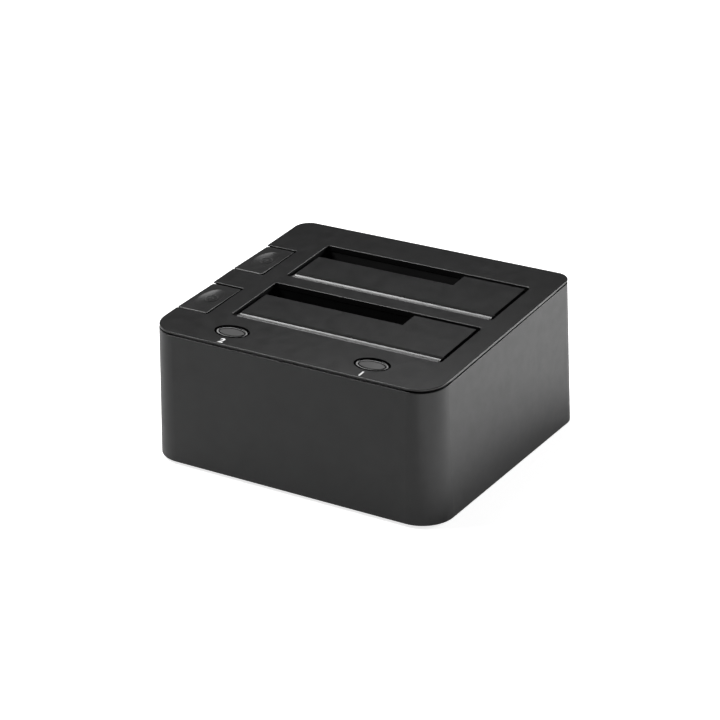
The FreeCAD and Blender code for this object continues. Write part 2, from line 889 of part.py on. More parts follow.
def drive_well(bay):
    """Open box below a bay, with ears for the lever and a guide for the eject pad's stem."""
    well = body(f"drive_well_{bay}")
    place(well, "bay_right", f"{bay}_bay_y", "0")
    outer = sketch(well, "XY_Plane", "well_under")
    reach = "(bay_width / 2 + well_gap)"
    side = "(bay_depth / 2 + well_gap)"
    rounded(
        outer,
        (f"-{reach} - well_wall", f"{reach} + well_wall"),
        (f"-{side} - well_wall", f"{side} + well_wall"),
        "bay_corner + well_wall",
        "bay_corner + well_wall",
    )
    pad(well, outer, "tall - well_under")
    inner = sketch(well, "XY_Plane", "well_floor")
    rounded(inner, (f"-{reach}", reach), (f"-{side}", side), "bay_corner", "bay_corner")
    pocket(well, inner, "tall", up=True)
    # Windows in the floor for the connector and the lever's inner arm
    socket_x = span("socket_x - bay_right", "socket_width + 2 * socket_gap")
    socket_y = ("socket_rear - socket_depth - socket_gap", "socket_rear + socket_gap")
    cut_block(well, socket_x, socket_y, ("0", "well_floor + well_wall"))
    arm_y = span(ARM_Y, "inner_arm_width + 2 * socket_gap")
    cut_block(
        well,
        ("-case_width / 2", "lever_x - bay_right + lever_inner + socket_gap"),
        arm_y,
        ("0", "window_top"),
    )
    # Ears that hold the lever's pin
    for front, back in ear_spans():
        add_block(
            well,
            ("lever_x - bay_right", f"-{reach} - well_wall / 2"),
            (front, back),
            ("lever_height - ear_radius", "lever_height + ear_radius"),
        )
        at = ("lever_x - bay_right", front, "lever_height")
        add_rod(well, "Y", at, "ear_radius", f"({back}) - ({front})")
    at = ("lever_x - bay_right", LEVER_FRONT + " - ear_thickness * 2", "lever_height")
    cut_rod(well, "Y", at, "lever_pin_radius + pin_clearance", "lever_tube_length + ear_thickness * 4")
    # Shelf with a bore that guides the eject pad's stem, stiffened by a web on each side
    add_block(
        well,
        ("stem_x - bay_right - guide_radius", f"-{reach} - well_wall / 2"),
        span(STEM_Y, "shelf_width"),
        ("shelf_height", "shelf_top"),
    )
    for web_side in (-1, 1):
        webs = sketch(well, "XZ_Plane", f"-({STEM_Y} + {web_side} * (shelf_width - well_wall) / 2)")
        polygon(
            webs,
            [
                (f"-{reach} - well_wall / 2", "shelf_height"),
                (f"-{reach} - well_wall / 2", "shelf_height - shelf_width"),
                ("stem_x - bay_right + guide_radius", "shelf_height"),
            ],
        )
        web = feature(well, "Pad", webs, Length="well_wall")
        web.Midplane = True
    at = ("stem_x - bay_right", STEM_Y, "shelf_top - guide_length")
    add_rod(well, "Z", at, "guide_radius", "guide_length")
    at = ("stem_x - bay_right", STEM_Y, "shelf_height - guide_length")
    cut_rod(well, "Z", at, "stem_radius + stem_clearance", "guide_length * 2")
    # Legs down to the main board or to the base plate's posts
    for x, y in (
        ("-leg_side", "-leg_ahead"),
        ("leg_side", "-leg_ahead"),
        ("-leg_inner", "leg_ahead"),
        ("leg_side", "leg_ahead"),
    ):
        length = "well_floor - board_top - well_floor_thickness / 2"
        add_rod(well, "Z", (x, y, "board_top"), "leg_radius", length)
        cut_rod(well, "Z", (x, y, "board_top - board_thickness"), "screw_bore", "well_floor - board_top")
    # Slots for the flap's pin, open at the top and closed by the cover
    hinge_y = f"{HINGE_Y[bay]} - {bay}_bay_y"
    radius = "hinge_pin_radius + pin_clearance"
    at = ("-bay_width", hinge_y, HINGE_Z[bay])
    cut_rod(well, "X", at, radius, "2 * bay_width")
    cut_block(well, ("-bay_width", "bay_width"), span(hinge_y, f"2 * ({radius})"), (HINGE_Z[bay], "tall"))
    drawing = sketch(well, "YZ_Plane")
    level = f"top_height + {bay}_bay_y * tan(top_slope) - (cover_thickness + well_top_gap) / cos(top_slope)"
    polygon(
        drawing,
        [
            ("-case_depth", f"{level} - case_depth * tan(top_slope)"),
            ("case_depth", f"{level} + case_depth * tan(top_slope)"),
            ("case_depth", "2 * tall"),
            ("-case_depth", "2 * tall"),
        ],
    )
    pocket(well, drawing)
    return well


STEM_Y = "stem_back - pad_ahead"
LEVER_FRONT = "(socket_rear - socket_depth - lever_socket_gap - lever_tube_length)"
ARM_Y = f"({LEVER_FRONT} + lever_tube_length - inner_arm_width / 2 - ear_gap)"
AXLE_ALONG = {bay: f"({bay}_bay_y - axle_ahead)" for bay in ("front", "rear")}
HINGE_Y = {
    bay: f"({along} * cos(top_slope) + axle_drop * sin(top_slope))"
    for bay, along in AXLE_ALONG.items()
}
HINGE_Z = {
    bay: f"(top_height + {along} * sin(top_slope) - axle_drop * cos(top_slope))"
    for bay, along in AXLE_ALONG.items()
}


def ear_spans():
    """Front and back of each of the two ears, in the well's frame."""
    yield f"{LEVER_FRONT} - ear_gap - ear_thickness", f"{LEVER_FRONT} - ear_gap"
    rear = f"{LEVER_FRONT} + lever_tube_length + ear_gap"
    yield rear, f"{rear} + ear_thickness"


def flap(bay):
    """Sprung lid of a bay, in a frame on its hinge axis and tilted like the cover."""
    lid = body(f"flap_{bay}")
    tilt(lid, "bay_right", f"{bay}_bay_y - axle_ahead", "axle_drop")
    plate = sketch(lid, "XY_Plane", "nose_radius")
    left, right = "flap_left", "flap_right"
    corner = "thin_slot_width - bay_width / 2"
    polygon(
        plate,
        [
            (left, "0"),
            (right, "0"),
            (right, "flap_reach"),
            (corner, "flap_reach"),
            (corner, "slot_reach"),
            (left, "slot_reach"),
        ],
    )
    pad(lid, plate, "flap_thickness", down=True)
    add_rod(lid, "X", (left, "0", "0"), "nose_radius", "flap_width")
    hub = "(bay_width / 2 + well_gap - hub_end_gap)"
    add_rod(lid, "X", (f"-{hub}", "0", "0"), "hub_radius", f"2 * {hub}")
    # Ribs under the plate
    for share in (-3, -1, 1, 3):
        middle = f"(flap_left + flap_right) / 2 + {share} * flap_width / 8"
        beside_slot = value(f"{middle} - flap_rib") < value(corner)
        end = "slot_reach - flap_rib" if beside_slot else "flap_reach - flap_rib"
        top = "nose_radius - flap_thickness / 2"
        bottom = "nose_radius - flap_thickness - flap_rib_depth"
        add_block(lid, span(middle, "flap_rib"), ("0", end), (bottom, top))
    # Room for the spring, open below
    room = span("flap_spring_place", "flap_spring_room")
    inner = "nose_radius - wall_over_spring"
    cut_rod(lid, "X", (room[0], "0", "0"), inner, "flap_spring_room")
    cut_block(lid, room, ("-nose_radius * 2", "nose_radius * 2"), ("-nose_radius * 2", "0"))
    cut_block(lid, room, ("0", "nose_radius * 2"), ("0", "nose_radius - flap_thickness"))
    bore = "hinge_pin_radius + pin_clearance"
    cut_rod(lid, "X", ("-bay_width", "0", "0"), bore, "2 * bay_width")
    return lid


def flap_pin(bay):
    """Steel pin from one side of the well to the other, with a head at each end."""
    half = "(bay_width / 2 + well_gap + well_wall)"
    at = (f"bay_right - {half} - pin_head_length", HINGE_Y[bay], HINGE_Z[bay])
    shaft = rod("X", at, "hinge_pin_radius", f"2 * ({half} + pin_head_length)")
    heads = [rod("X", at, "pin_head_radius", "pin_head_length")]
    far = (f"bay_right + {half}", HINGE_Y[bay], HINGE_Z[bay])
    heads.append(rod("X", far, "pin_head_radius", "pin_head_length"))
    return node(fuse([shaft, *heads]), f"flap_pin_{bay}")


def coil(label, radius, wire, length, turns, legs_out=None):
    """Spring of square wire on the Z axis from height 0, in straight runs, with optional legs."""
    runs = 10
    turns = int(round(turns))
    points = []
    for step in range(turns * runs + 1):
        angle = 2 * math.pi * step / runs
        rise = wire / 2 + (length - wire) * step / (turns * runs)
        points.append(Vector(radius * math.cos(angle), radius * math.sin(angle), rise))
    if legs_out:
        points.insert(0, points[0] + legs_out[0])
        points.append(points[-1] + legs_out[1])
    path = Part.makePolygon(points)
    along = points[1] - points[0]
    across = Vector(0, 0, 1).cross(along).normalize() * (wire / 2)
    up = along.cross(across).normalize() * (wire / 2)
    start = points[0]
    corners = [start + across + up, start - across + up, start - across - up, start + across - up]
    section = Part.makePolygon(corners + corners[:1])
    item = document.addObject("Part::Feature", label)
    item.Shape = path.makePipeShell([section], True, False, 1)
    return node(item, label)


def flap_spring(bay):
    """Torsion spring round the pin: one leg lifts the flap, the other rests on the well."""
    radius = value("flap_spring_radius")
    wire = value("flap_spring_wire")
    turns = int(value("flap_spring_turns"))
    leg = value("flap_spring_leg")
    rise = radius + value("nose_radius - flap_thickness - pin_clearance") - wire / 2
    legs_out = (
        Vector(0, -value("flap_spring_foot"), 0),
        Vector(-rise, math.sqrt(leg**2 - rise**2), 0),
    )
    length = wire * value("flap_spring_spread") * (turns + 1)
    spring = coil(f"flap_spring_{bay}", radius, wire, length, turns, legs_out)
    slope = Rotation(Vector(1, 0, 0), value("top_slope"))
    spring.Placement = Placement(
        Vector(value("flap_spring_at") - length / 2, value(HINGE_Y[bay]), value(HINGE_Z[bay])),
        slope.multiply(Rotation(Vector(0, 1, 0), 90)),
    )
    return spring


# Eject pads and levers

def eject_button(bay):
    """Pad in the cover's left edge with a stem that pushes the lever."""
    button = body(f"eject_button_{bay}")
    middle = f"{bay}_bay_y - pad_ahead"
    front = f"({middle} - pad_length / 2)"
    place(button, "stem_x", middle, f"top_height + {front} * tan(top_slope)")
    cap = sketch(button, "XY_Plane", "pad_rise")
    rounded(cap, span("0", "pad_width"), span("0", "pad_length"), "pad_corner", "pad_corner")
    pad(button, cap, "pad_rise + pad_rim", down=True)
    # Its top rises backwards a little less than the cover does
    above = sketch(button, "YZ_Plane")
    polygon(
        above,
        [
            ("-pad_length", "-pad_rise / 2"),
            ("pad_length", "pad_rise * 3 / 2"),
            ("pad_length", "pad_rise * 3"),
            ("-pad_length", "pad_rise * 3"),
        ],
    )
    pocket(button, above)
    round_top(button, "pad_round")
    skirt_x = ("-pad_width / 2", "-pad_width / 2 + pad_skirt_wall")
    add_block(button, skirt_x, span("0", "pad_length - 2 * pad_corner"), ("-pad_skirt", "-pad_rim / 2"))
    hollow = sketch(button, "XY_Plane", "-pad_thickness")
    inner_x = span("0", "pad_width - 2 * pad_skirt_wall")
    rectangle(hollow, inner_x, span("0", "pad_length - 2 * pad_skirt_wall"))
    pocket(button, hollow, "pad_rim")
    finger_dish(button)
    # Stem with a rounded foot, and a collar that stops it under the guide
    tip = f"stem_tip - top_height - {front} * tan(top_slope)"
    neck = f"{tip} + stem_foot_length"
    at = ("0", "stem_back", neck)
    add_rod(button, "Z", at, "stem_radius", f"-pad_thickness / 2 - dish_depth / 2 - ({neck})")
    at = ("0", "stem_back", f"{tip} + stem_foot_radius")
    add_rod(button, "Z", at, "stem_foot_radius", "stem_foot_length")
    ball = button.newObject("PartDesign::AdditiveSphere", "Foot")
    bind(ball, "Radius", "stem_foot_radius")
    place(ball, "0", "stem_back", f"{tip} + stem_foot_radius")
    stop_top = f"shelf_top - guide_length - stop_gap - top_height - {front} * tan(top_slope)"
    at = ("0", "stem_back", f"{stop_top} - stop_thickness")
    add_rod(button, "Z", at, "stop_radius", "stop_thickness")
    return button


def finger_dish(button):
    """Shallow dish in an eject pad, swept about an axis parallel to the pad's top."""
    high = "(dish_cross_radius - dish_depth)"
    drawing = sketch(button, "YZ_Plane")
    drawing.AttachmentOffset = Placement(Vector(), Rotation(Vector(0, 0, 1), value("pad_slope")))
    bind(drawing, "AttachmentOffset.Rotation.Angle", "pad_slope")
    bind(drawing, "AttachmentOffset.Base.x", f"-{high} * sin(pad_slope)")
    bind(drawing, "AttachmentOffset.Base.y", f"pad_rise / 2 + {high} * cos(pad_slope)")
    ends = [("-dish_length / 2", f"-{high}"), ("dish_length / 2", f"-{high}")]
    left, right = (Vector(value(x), value(y), 0) for x, y in ends)
    bottom = Vector(0, -value("dish_cross_radius"), 0)
    drawing.addGeometry(Part.Arc(left, bottom, right), False)
    drawing.addGeometry(Part.LineSegment(right, left), False)
    drawing.addConstraint(Sketcher.Constraint("Coincident", 0, 2, 1, 1))
    drawing.addConstraint(Sketcher.Constraint("Coincident", 0, 1, 1, 2))
    for (x, y), point in zip(ends, (2, 1)):
        dimension(drawing, "DistanceX", (-1, 1, 1, point), x)
        dimension(drawing, "DistanceY", (-1, 1, 1, point), y)
    dimension(drawing, "Radius", (0,), "dish_long_radius")
    dish = feature(button, "Groove", drawing)
    dish.ReferenceAxis = (drawing, ["H_Axis"])
    dish.Angle = 90
    dish.Midplane = True


def eject_spring(bay):
    """Compression spring between the guide shelf and the pad."""
    wire = value("eject_spring_wire")
    middle = f"{bay}_bay_y - pad_ahead"
    top = value(f"top_height + ({middle} - pad_length / 2) * tan(top_slope) - pad_thickness")
    shelf = value("shelf_top")
    turns = value("eject_spring_turns")
    gap = value("eject_spring_end_gap")
    length = top - shelf - 2 * gap
    spring = coil(f"eject_spring_{bay}", value("eject_spring_radius"), wire, length, turns)
    spring.Placement.Base = Vector(value("stem_x"), value(f"{middle} + stem_back"), shelf + gap)
    return spring


def eject_lever(bay):
    """Rocking lever: the stem pushes its outer arm down and its inner arm lifts the drive."""
    lever = body(f"eject_lever_{bay}")
    place(lever, "lever_x", f"{bay}_bay_y", "lever_height")
    at = ("0", LEVER_FRONT, "0")
    add_rod(lever, "Y", at, "lever_tube_radius", "lever_tube_length")
    outer_y = span(STEM_Y, "outer_arm_width")
    add_block(lever, ("-lever_outer", "0"), outer_y, ("lever_crown - lever_thickness", "lever_crown"))
    arm_top = "(well_floor - lever_touch_gap - lever_height)"
    arm = sketch(lever, "XZ_Plane", f"-{ARM_Y}")
    polygon(
        arm,
        [
            ("0", "lever_tube_radius"),
            ("lever_tube_radius", "lever_crown"),
            ("lever_reach - lever_tube_radius", arm_top),
            ("lever_inner - lever_touch_gap", arm_top),
            ("lever_inner", f"{arm_top} - lever_touch_gap"),
            ("lever_inner", f"{arm_top} - lever_thickness / 2"),
            ("lever_reach - lever_tube_radius", f"{arm_top} - lever_thickness"),
            ("0", "-lever_tube_radius"),
        ],
    )
    inner = feature(lever, "Pad", arm, Length="inner_arm_width")
    inner.Midplane = True
    bore_at = ("0", f"{LEVER_FRONT} - ear_gap", "0")
    cut_rod(lever, "Y", bore_at, "lever_pin_radius + pin_clearance", "lever_tube_length + 2 * ear_gap")
    return lever


def lever_pin(bay):
    front = f"{bay}_bay_y + {LEVER_FRONT} - ear_gap - ear_thickness"
    length = "lever_tube_length + 2 * ear_gap + 2 * ear_thickness"
    pin = rod("Y", ("lever_x", front, "lever_height"), "lever_pin_radius", length)
    return node(pin, f"lever_pin_{bay}")


# Boards and connectors

def main_board():
    board = body("main_board")
    outline = sketch(board, "XY_Plane", "board_bottom")
    rectangle(outline, ("board_left", "board_right"), ("board_front", "board_back"))
    pad(board, outline, "board_thickness")
    for x, y, top in posts():
        if top == "board_bottom":
            cut_rod(board, "Z", (x, y, "0"), "screw_hole_radius", "board_top * 2")
    for x, y in corner_screws():
        if value(y) > 0:
            cut_rod(board, "Z", (x, y, "0"), "boss_radius + base_gap", "board_top * 2")
    return board


def sata_connector(bay):
    """Receptacle with one long slot for power and one short slot for data."""
    rear = f"{bay}_bay_y + socket_rear"
    housing = block(
        span("socket_x", "socket_width"),
        (f"{rear} - socket_depth", rear),
        ("board_top", "socket_top"),
    )
    slots = []
    for x in blade_slots():
        slots.append(block(x, span(f"{rear} - socket_depth / 2", "blade_slot"), SLOT_Z))
        key = (x[1] + " - blade_slot", x[1])
        slots.append(block(key, (f"{rear} - socket_depth / 2", f"{rear} - blade_slot / 2"), SLOT_Z))
    return node(cut(housing, fuse(slots)), f"sata_connector_{bay}")


SLOT_Z = ("socket_top - blade_slot_depth", "socket_top + blade_slot")


def blade_slots():
    """Left and right end of the data slot and of the power slot."""
    left = "socket_x - socket_width / 2 + socket_gap * 3"
    yield left, f"{left} + data_slot"
    yield f"{left} + data_slot + blade_slot", f"{left} + data_slot + blade_slot + power_slot"


def sata_contacts(bay):
    """Row of spring contacts on the front wall of both slots."""
    rear = f"{bay}_bay_y + socket_rear - socket_depth / 2 - blade_slot / 2"
    contacts = []
    for x, count in zip(blade_slots(), (7, 15)):
        for index in range(count):
            left = f"{x[0]} + contact_pitch * {index} + contact_width"
            foot = "socket_top - blade_slot_depth"
            right = f"{left} + contact_width"
            top = f"{foot} + contact_height"
            contacts.append(block((left, right), (rear, f"{rear} + contact_thickness"), (foot, top)))
    return group(f"sata_contacts_{bay}", contacts)


def usb_port():
    """Square data socket at the back: a steel shell with a tongue inside."""
    face = "panel_face"
    x = span("usb_x", "usb_width")
    shell = block(x, (f"{face} - usb_depth", face), ("board_top", "board_top + usb_height"))
    mouth = block(
        span("usb_x", "usb_mouth"),
        (f"{face} - usb_depth + usb_shell", "case_depth"),
        ("board_top + usb_shell", "board_top + usb_height - usb_shell - usb_tongue_height / 2"),
    )
    upper = block(
        span("usb_x", "usb_tongue_width"),
        (f"{face} - usb_depth + usb_shell", "case_depth"),
        ("board_top + usb_height / 2", "board_top + usb_height - usb_shell"),
    )
    node(cut(shell, fuse([mouth, upper])), "usb_port_shell")
    low = "board_top + usb_shell + (usb_mouth - usb_tongue_height) / 2"
    tongue = block(
        span("usb_x", "usb_tongue_width"),
        (f"{face} - usb_depth + usb_shell", f"{face} - usb_shell * 2"),
        (low, f"{low} + usb_tongue_height"),
    )
    node(tongue, "usb_port_tongue")


def dc_jack():
    """Round power inlet with its centre pin."""
    face = "panel_face"
    middle = ("jack_x", "board_top + jack_height / 2")
    housing = block(
        span("jack_x", "jack_width"),
        (f"{face} - jack_depth", face),
        ("board_top", "board_top + jack_height"),
    )
    bore = rod("Y", (middle[0], f"{face} - jack_bore_depth", middle[1]), "jack_bore", "jack_depth")
    node(cut(housing, bore), "dc_jack_body")
    at = (middle[0], f"{face} - jack_bore_depth", middle[1])
    node(rod("Y", at, "jack_pin", "jack_bore_depth - jack_pin"), "dc_jack_pin")


def power_switch():
    """Rocker switch through the sunk panel."""
    depth = ("panel_face - switch_depth", "panel_face")
    z = span("rocker_height", "switch_body_height")
    barrel = block(span("rocker_x", "switch_width"), depth, z)
    bezel = block(
        span("rocker_x", "bezel_width"),
        ("panel_face", "panel_face + bezel_thickness"),
        span("rocker_height", "bezel_height"),
    )
    mouth = block(
        span("rocker_x", "rocker_width + 2 * rocker_gap"),
        ("panel_face - rocker_depth", "case_depth"),
        span("rocker_height", "rocker_length + 4 * rocker_gap"),
    )
    node(cut(fuse([barrel, bezel]), mouth), "power_switch_body")
    rocker = body("power_switch_rocker")
    place(rocker, "rocker_x", ROCKER_Y, "rocker_height")
    drawing = sketch(rocker, "YZ_Plane")
    face = f"panel_face + bezel_thickness - {ROCKER_Y}"
    half = "rocker_length / 2"
    polygon(
        drawing,
        [
            (f"{face} - {half} * tan(rocker_tilt)", "0"),
            (face, half),
            (f"{face} - rocker_axle * 2", half),
            ("-rocker_axle * 2", "rocker_axle * 2"),
            ("-rocker_axle * 2", "-rocker_axle * 2"),
            (f"{face} - {half} * 2 * tan(rocker_tilt) - rocker_axle * 2", f"-{half}"),
            (f"{face} - {half} * 2 * tan(rocker_tilt)", f"-{half}"),
        ],
    )
    item = feature(rocker, "Pad", drawing, Length="rocker_width")
    item.Midplane = True


ROCKER_Y = "(panel_face - rocker_depth / 2)"


def power_button(number, side):
    """Oval cap with a flange behind the ring and a stem that presses the switch."""
    button = body(f"power_button_{number}")
    tilt(button, f"{side} * button_side", "-button_ahead", "button_sunk")
    flange_top = "(button_sunk - button_flange_top)"
    cap = sketch(button, "XY_Plane")
    oval(cap, "0", "button_half_length", "0", "button_half_width")
    pad(button, cap, f"-{flange_top}", down=True)
    round_top(button, "button_round")
    flange = sketch(button, "XY_Plane", flange_top)
    oval(flange, "0", "button_half_length + button_flange", "0", "button_half_width + button_flange")
    pad(button, flange, "button_flange_thickness", down=True)
    tip = "(button_sunk - tact_tip + press_gap)"
    length = f"{flange_top} - button_flange_thickness / 2 - {tip}"
    add_rod(button, "Z", ("0", "0", tip), "button_stem", length)
    return button


def light_ring(number, side):
    """Clear ring round a power button, held by its flange under the cover."""
    ring = body(f"light_ring_{number}")
    tilt(ring, f"{side} * button_side", "-button_ahead", "ring_sunk")
    flange_top = "(ring_sunk - cover_thickness)"
    collar = sketch(ring, "XY_Plane")
    oval(collar, "0", "ring_length", "0", "ring_width")
    oval(collar, "0", "ring_bore_length", "0", "ring_bore_width")
    pad(ring, collar, f"-{flange_top} + ring_flange_thickness", down=True)
    round_top(ring, "ring_round")
    flange = sketch(ring, "XY_Plane", flange_top)
    oval(flange, "0", "ring_length + ring_flange", "0", "ring_width + ring_flange")
    oval(flange, "0", "ring_bore_length", "0", "ring_bore_width")
    pad(ring, flange, "ring_flange_thickness", down=True)
    return ring


def tilted_group(label, items):
    item = group(label, items)
    tilt(item, "0", "0", "0")
    return item


def button_board():
    top = "-button_board_top"
    y = ("-button_board_ahead", "-button_board_ahead + button_board_depth")
    z = ("-button_board_drop", top)
    plate = block(("-button_board_side", "button_board_side"), y, z)
    holes = []
    for side in (-1, 1):
        at = (f"{side} * cover_post_side", "-button_ahead", "-button_board_drop * 2")
        holes.append(rod("Z", at, "screw_hole_radius", "button_board_drop * 2"))
    board = node(cut(plate, fuse(holes)), "button_board")
    tilt(board, "0", "0", "0")
    switches = []
    leds = []
    for side in (-1, 1):
        x = f"{side} * button_side"
        y = "-button_ahead"
        casing = block(span(x, "tact_size"), span(y, "tact_size"), (top, f"{top} + tact_height"))
        at = (x, "-button_ahead", f"{top} + tact_height")
        switches.append(fuse([casing, rod("Z", at, "tact_plunger", "tact_plunger_height")]))
        for wing in (-1, 1):
            led_x = f"{x} + {wing} * (ring_bore_length + ring_wall / 2)"
            led_z = (top, f"{top} + led_height")
            leds.append(block(span(led_x, "led_width"), span(y, "led_length"), led_z))
    tilted_group("tact_switches", switches)
    tilted_group("status_leds", leds)
    screws = []
    for side in (-1, 1):
        at = (f"{side} * cover_post_side", "-button_ahead", "-button_board_drop - screw_head_height")
        head = rod("Z", at, "screw_head_radius", "screw_head_height")
        shank = rod("Z", at, "screw_radius", "button_board_top")
        screws.append(fuse([head, shank]))
    tilted_group("button_board_screws", screws)


def ribbon_cable():
    """Flat cable from the button board down and back under the front well."""
    cable = body("ribbon_cable")
    place(cable, "ribbon_x - ribbon_width / 2", "0", "0")
    front = "-ribbon_ahead"
    back = "board_front + header_depth / 4"
    low = "ribbon_height"
    top = f"top_height - ribbon_ahead * tan(top_slope) - button_board_drop - ribbon_thickness"
    drawing = sketch(cable, "YZ_Plane")
    bend = value("ribbon_bend")
    thick = value("ribbon_thickness")
    left, floor = value(front), value(low)
    corners = [
        (left, value(top)),
        (left, floor + bend),
        (left + bend, floor),
        (value(back), floor),
        (value(back), floor + thick),
        (left + bend, floor + thick),
        (left + thick, floor + bend),
        (left + thick, value(top)),
    ]
    centre = Vector(left + bend, floor + bend, 0)
    quarter = (math.radians(180), math.radians(270))
    pieces = []
    for index, (start, end) in enumerate(zip(corners, corners[1:] + corners[:1])):
        if index in (1, 5):
            radius = bend if index == 1 else bend - thick
            ring = Part.Circle(centre, Vector(0, 0, 1), radius)
            pieces.append(Part.ArcOfCircle(ring, *quarter))
        else:
            pieces.append(Part.LineSegment(Vector(*start, 0), Vector(*end, 0)))
    for piece in pieces:
        drawing.addGeometry(piece, False)
    pad(cable, drawing, "ribbon_width")
    return cable


def board_parts():
    """Chips, capacitors, coils and plug headers on the main board."""
    chips = [
        ("usb_x - usb_width", "board_back - usb_depth * 2 - chip_height", "usb_height", "chip_height"),
        ("rocker_x - bezel_width", "front_bay_y + bay_depth / 2", "jack_width", "chip_height"),
        ("bay_right + leg_side / 2", "rear_bay_y - bay_depth / 3", "jack_width", "chip_height"),
    ]
    bodies = []
    for x, y, size, height in chips:
        bodies.append(block(span(x, size), span(y, size), ("board_top", f"board_top + {height}")))
    group("board_chips", bodies)
    cans = []
    for index in range(3):
        x = f"usb_x - usb_width - {index} * capacitor_pitch"
        at = (x, "board_back - capacitor_back", "board_top")
        cans.append(rod("Z", at, "capacitor_radius", "capacitor_height"))
    group("board_capacitors", cans)
    header = block(
        span("ribbon_x", "header_width"),
        ("board_front + header_depth / 4", "board_front + header_depth * 5 / 4"),
        ("board_top", "board_top + header_height"),
    )
    node(header, "ribbon_header")


# Assembly

outer_shell()
top_cover()
base_plate()
feet()
for bay in ("front", "rear"):
    drive_well(bay)
    flap(bay)
    flap_pin(bay)
    flap_spring(bay)
    eject_button(bay)
    eject_spring(bay)
    eject_lever(bay)
    lever_pin(bay)
    sata_connector(bay)
    sata_contacts(bay)
main_board()
board_parts()
usb_port()
dc_jack()
power_switch()
for number, side in ((1, 1), (2, -1)):
    power_button(number, side)
    light_ring(number, side)
button_board()
ribbon_cable()
group("case_screws", [screw(x, y, "foot_proud") for x, y in corner_screws()])
group("well_screws", [screw(x, y, "foot_proud") for x, y, top in posts()])
document.recompute()

# Export

for item in document.Objects:
    if "Invalid" in item.State or "Error" in item.State:
        raise RuntimeError(f"{item.Label} failed: {item.State}")
for item in NODES:
    if item.Shape.isNull() or not item.Shape.isValid():
        raise RuntimeError(f"{item.Label} has no valid shape")

os.makedirs("parts", exist_ok=True)
for item in NODES:
    item.Shape.exportStep(f"parts/{item.Label}.step")
    box = item.Shape.BoundBox
    print(f"{item.Label:24s} {len(item.Shape.Solids):3d} solids {item.Shape.Volume:10.1f} mm3  z {box.ZMin:.2f} to {box.ZMax:.2f}")
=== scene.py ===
"""Hard drive docking station: surfaces, springs, marks, studio and camera, in metres."""

import json
import math

import bmesh
import bpy
from mathutils import Euler, Matrix, Vector
from mathutils.bvhtree import BVHTree

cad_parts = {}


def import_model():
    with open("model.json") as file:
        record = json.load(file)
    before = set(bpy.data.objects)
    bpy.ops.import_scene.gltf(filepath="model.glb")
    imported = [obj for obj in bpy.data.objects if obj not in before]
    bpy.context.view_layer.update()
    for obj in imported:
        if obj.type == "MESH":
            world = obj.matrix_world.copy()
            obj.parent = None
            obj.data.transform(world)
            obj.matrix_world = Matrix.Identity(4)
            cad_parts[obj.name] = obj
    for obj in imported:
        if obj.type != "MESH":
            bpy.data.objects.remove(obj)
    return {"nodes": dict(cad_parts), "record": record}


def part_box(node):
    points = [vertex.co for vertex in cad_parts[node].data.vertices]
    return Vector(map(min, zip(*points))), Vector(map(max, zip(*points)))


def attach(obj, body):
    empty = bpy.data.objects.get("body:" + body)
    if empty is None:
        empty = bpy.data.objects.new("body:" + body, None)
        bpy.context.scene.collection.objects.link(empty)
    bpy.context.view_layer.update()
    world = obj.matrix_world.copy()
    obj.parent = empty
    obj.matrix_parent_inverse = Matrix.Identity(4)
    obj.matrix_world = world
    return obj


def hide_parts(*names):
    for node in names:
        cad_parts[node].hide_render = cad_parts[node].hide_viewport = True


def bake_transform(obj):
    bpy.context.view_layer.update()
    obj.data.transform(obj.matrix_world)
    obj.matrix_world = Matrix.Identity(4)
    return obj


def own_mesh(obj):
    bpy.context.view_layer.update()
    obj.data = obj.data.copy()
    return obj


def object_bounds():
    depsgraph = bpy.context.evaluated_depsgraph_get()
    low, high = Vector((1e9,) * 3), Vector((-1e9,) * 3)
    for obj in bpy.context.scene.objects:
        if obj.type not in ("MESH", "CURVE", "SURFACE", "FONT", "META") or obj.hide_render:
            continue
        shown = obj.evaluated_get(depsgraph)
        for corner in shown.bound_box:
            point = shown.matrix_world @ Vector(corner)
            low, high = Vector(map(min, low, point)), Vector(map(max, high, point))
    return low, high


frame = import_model()
cad_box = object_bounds()
NODES = frame["nodes"]

MM = 0.001
BAYS = ("front", "rear")
BUTTONS = (1, 2)

# Top of the case: a plane that rises to the rear
TOP_HEIGHT = 67.0 * MM
SLOPE = math.radians(3.5)


# Nodes and materials

def add(tree, kind, inputs, **settings):
    """Adds a node; each input is a number, a colour or another node's output."""
    item = tree.nodes.new(kind)
    for name, setting in settings.items():
        setattr(item, name, setting)
    for name, source in inputs.items():
        if isinstance(source, bpy.types.NodeSocket):
            tree.links.new(source, item.inputs[name])
        else:
            item.inputs[name].default_value = source
    return item


def grey(level, tint=(1.0, 1.0, 1.0)):
    """Colour of one linear level with a slight tint."""
    return tuple(level * part for part in tint) + (1.0,)


def place_on_object(tree, stretch=(1.0, 1.0, 1.0)):
    """Object coordinates, stretched, for a pattern that stays on the piece."""
    where = add(tree, "ShaderNodeTexCoord", {})
    inputs = {"Vector": where.outputs["Object"], "Scale": stretch}
    return add(tree, "ShaderNodeMapping", inputs).outputs["Vector"]


def noise(tree, size, detail=2.0, stretch=(1.0, 1.0, 1.0)):
    """Noise whose blotches are about the given size."""
    inputs = {"Vector": place_on_object(tree, stretch), "Scale": 1.0 / size, "Detail": detail}
    return add(tree, "ShaderNodeTexNoise", inputs).outputs["Fac"]


def spread(tree, source, low, high, start=0.3, end=0.7):
    """Turns a pattern's middle range into numbers from low to high."""
    inputs = {"Value": source, "From Min": start, "From Max": end, "To Min": low, "To Max": high}
    return add(tree, "ShaderNodeMapRange", inputs).outputs["Result"]


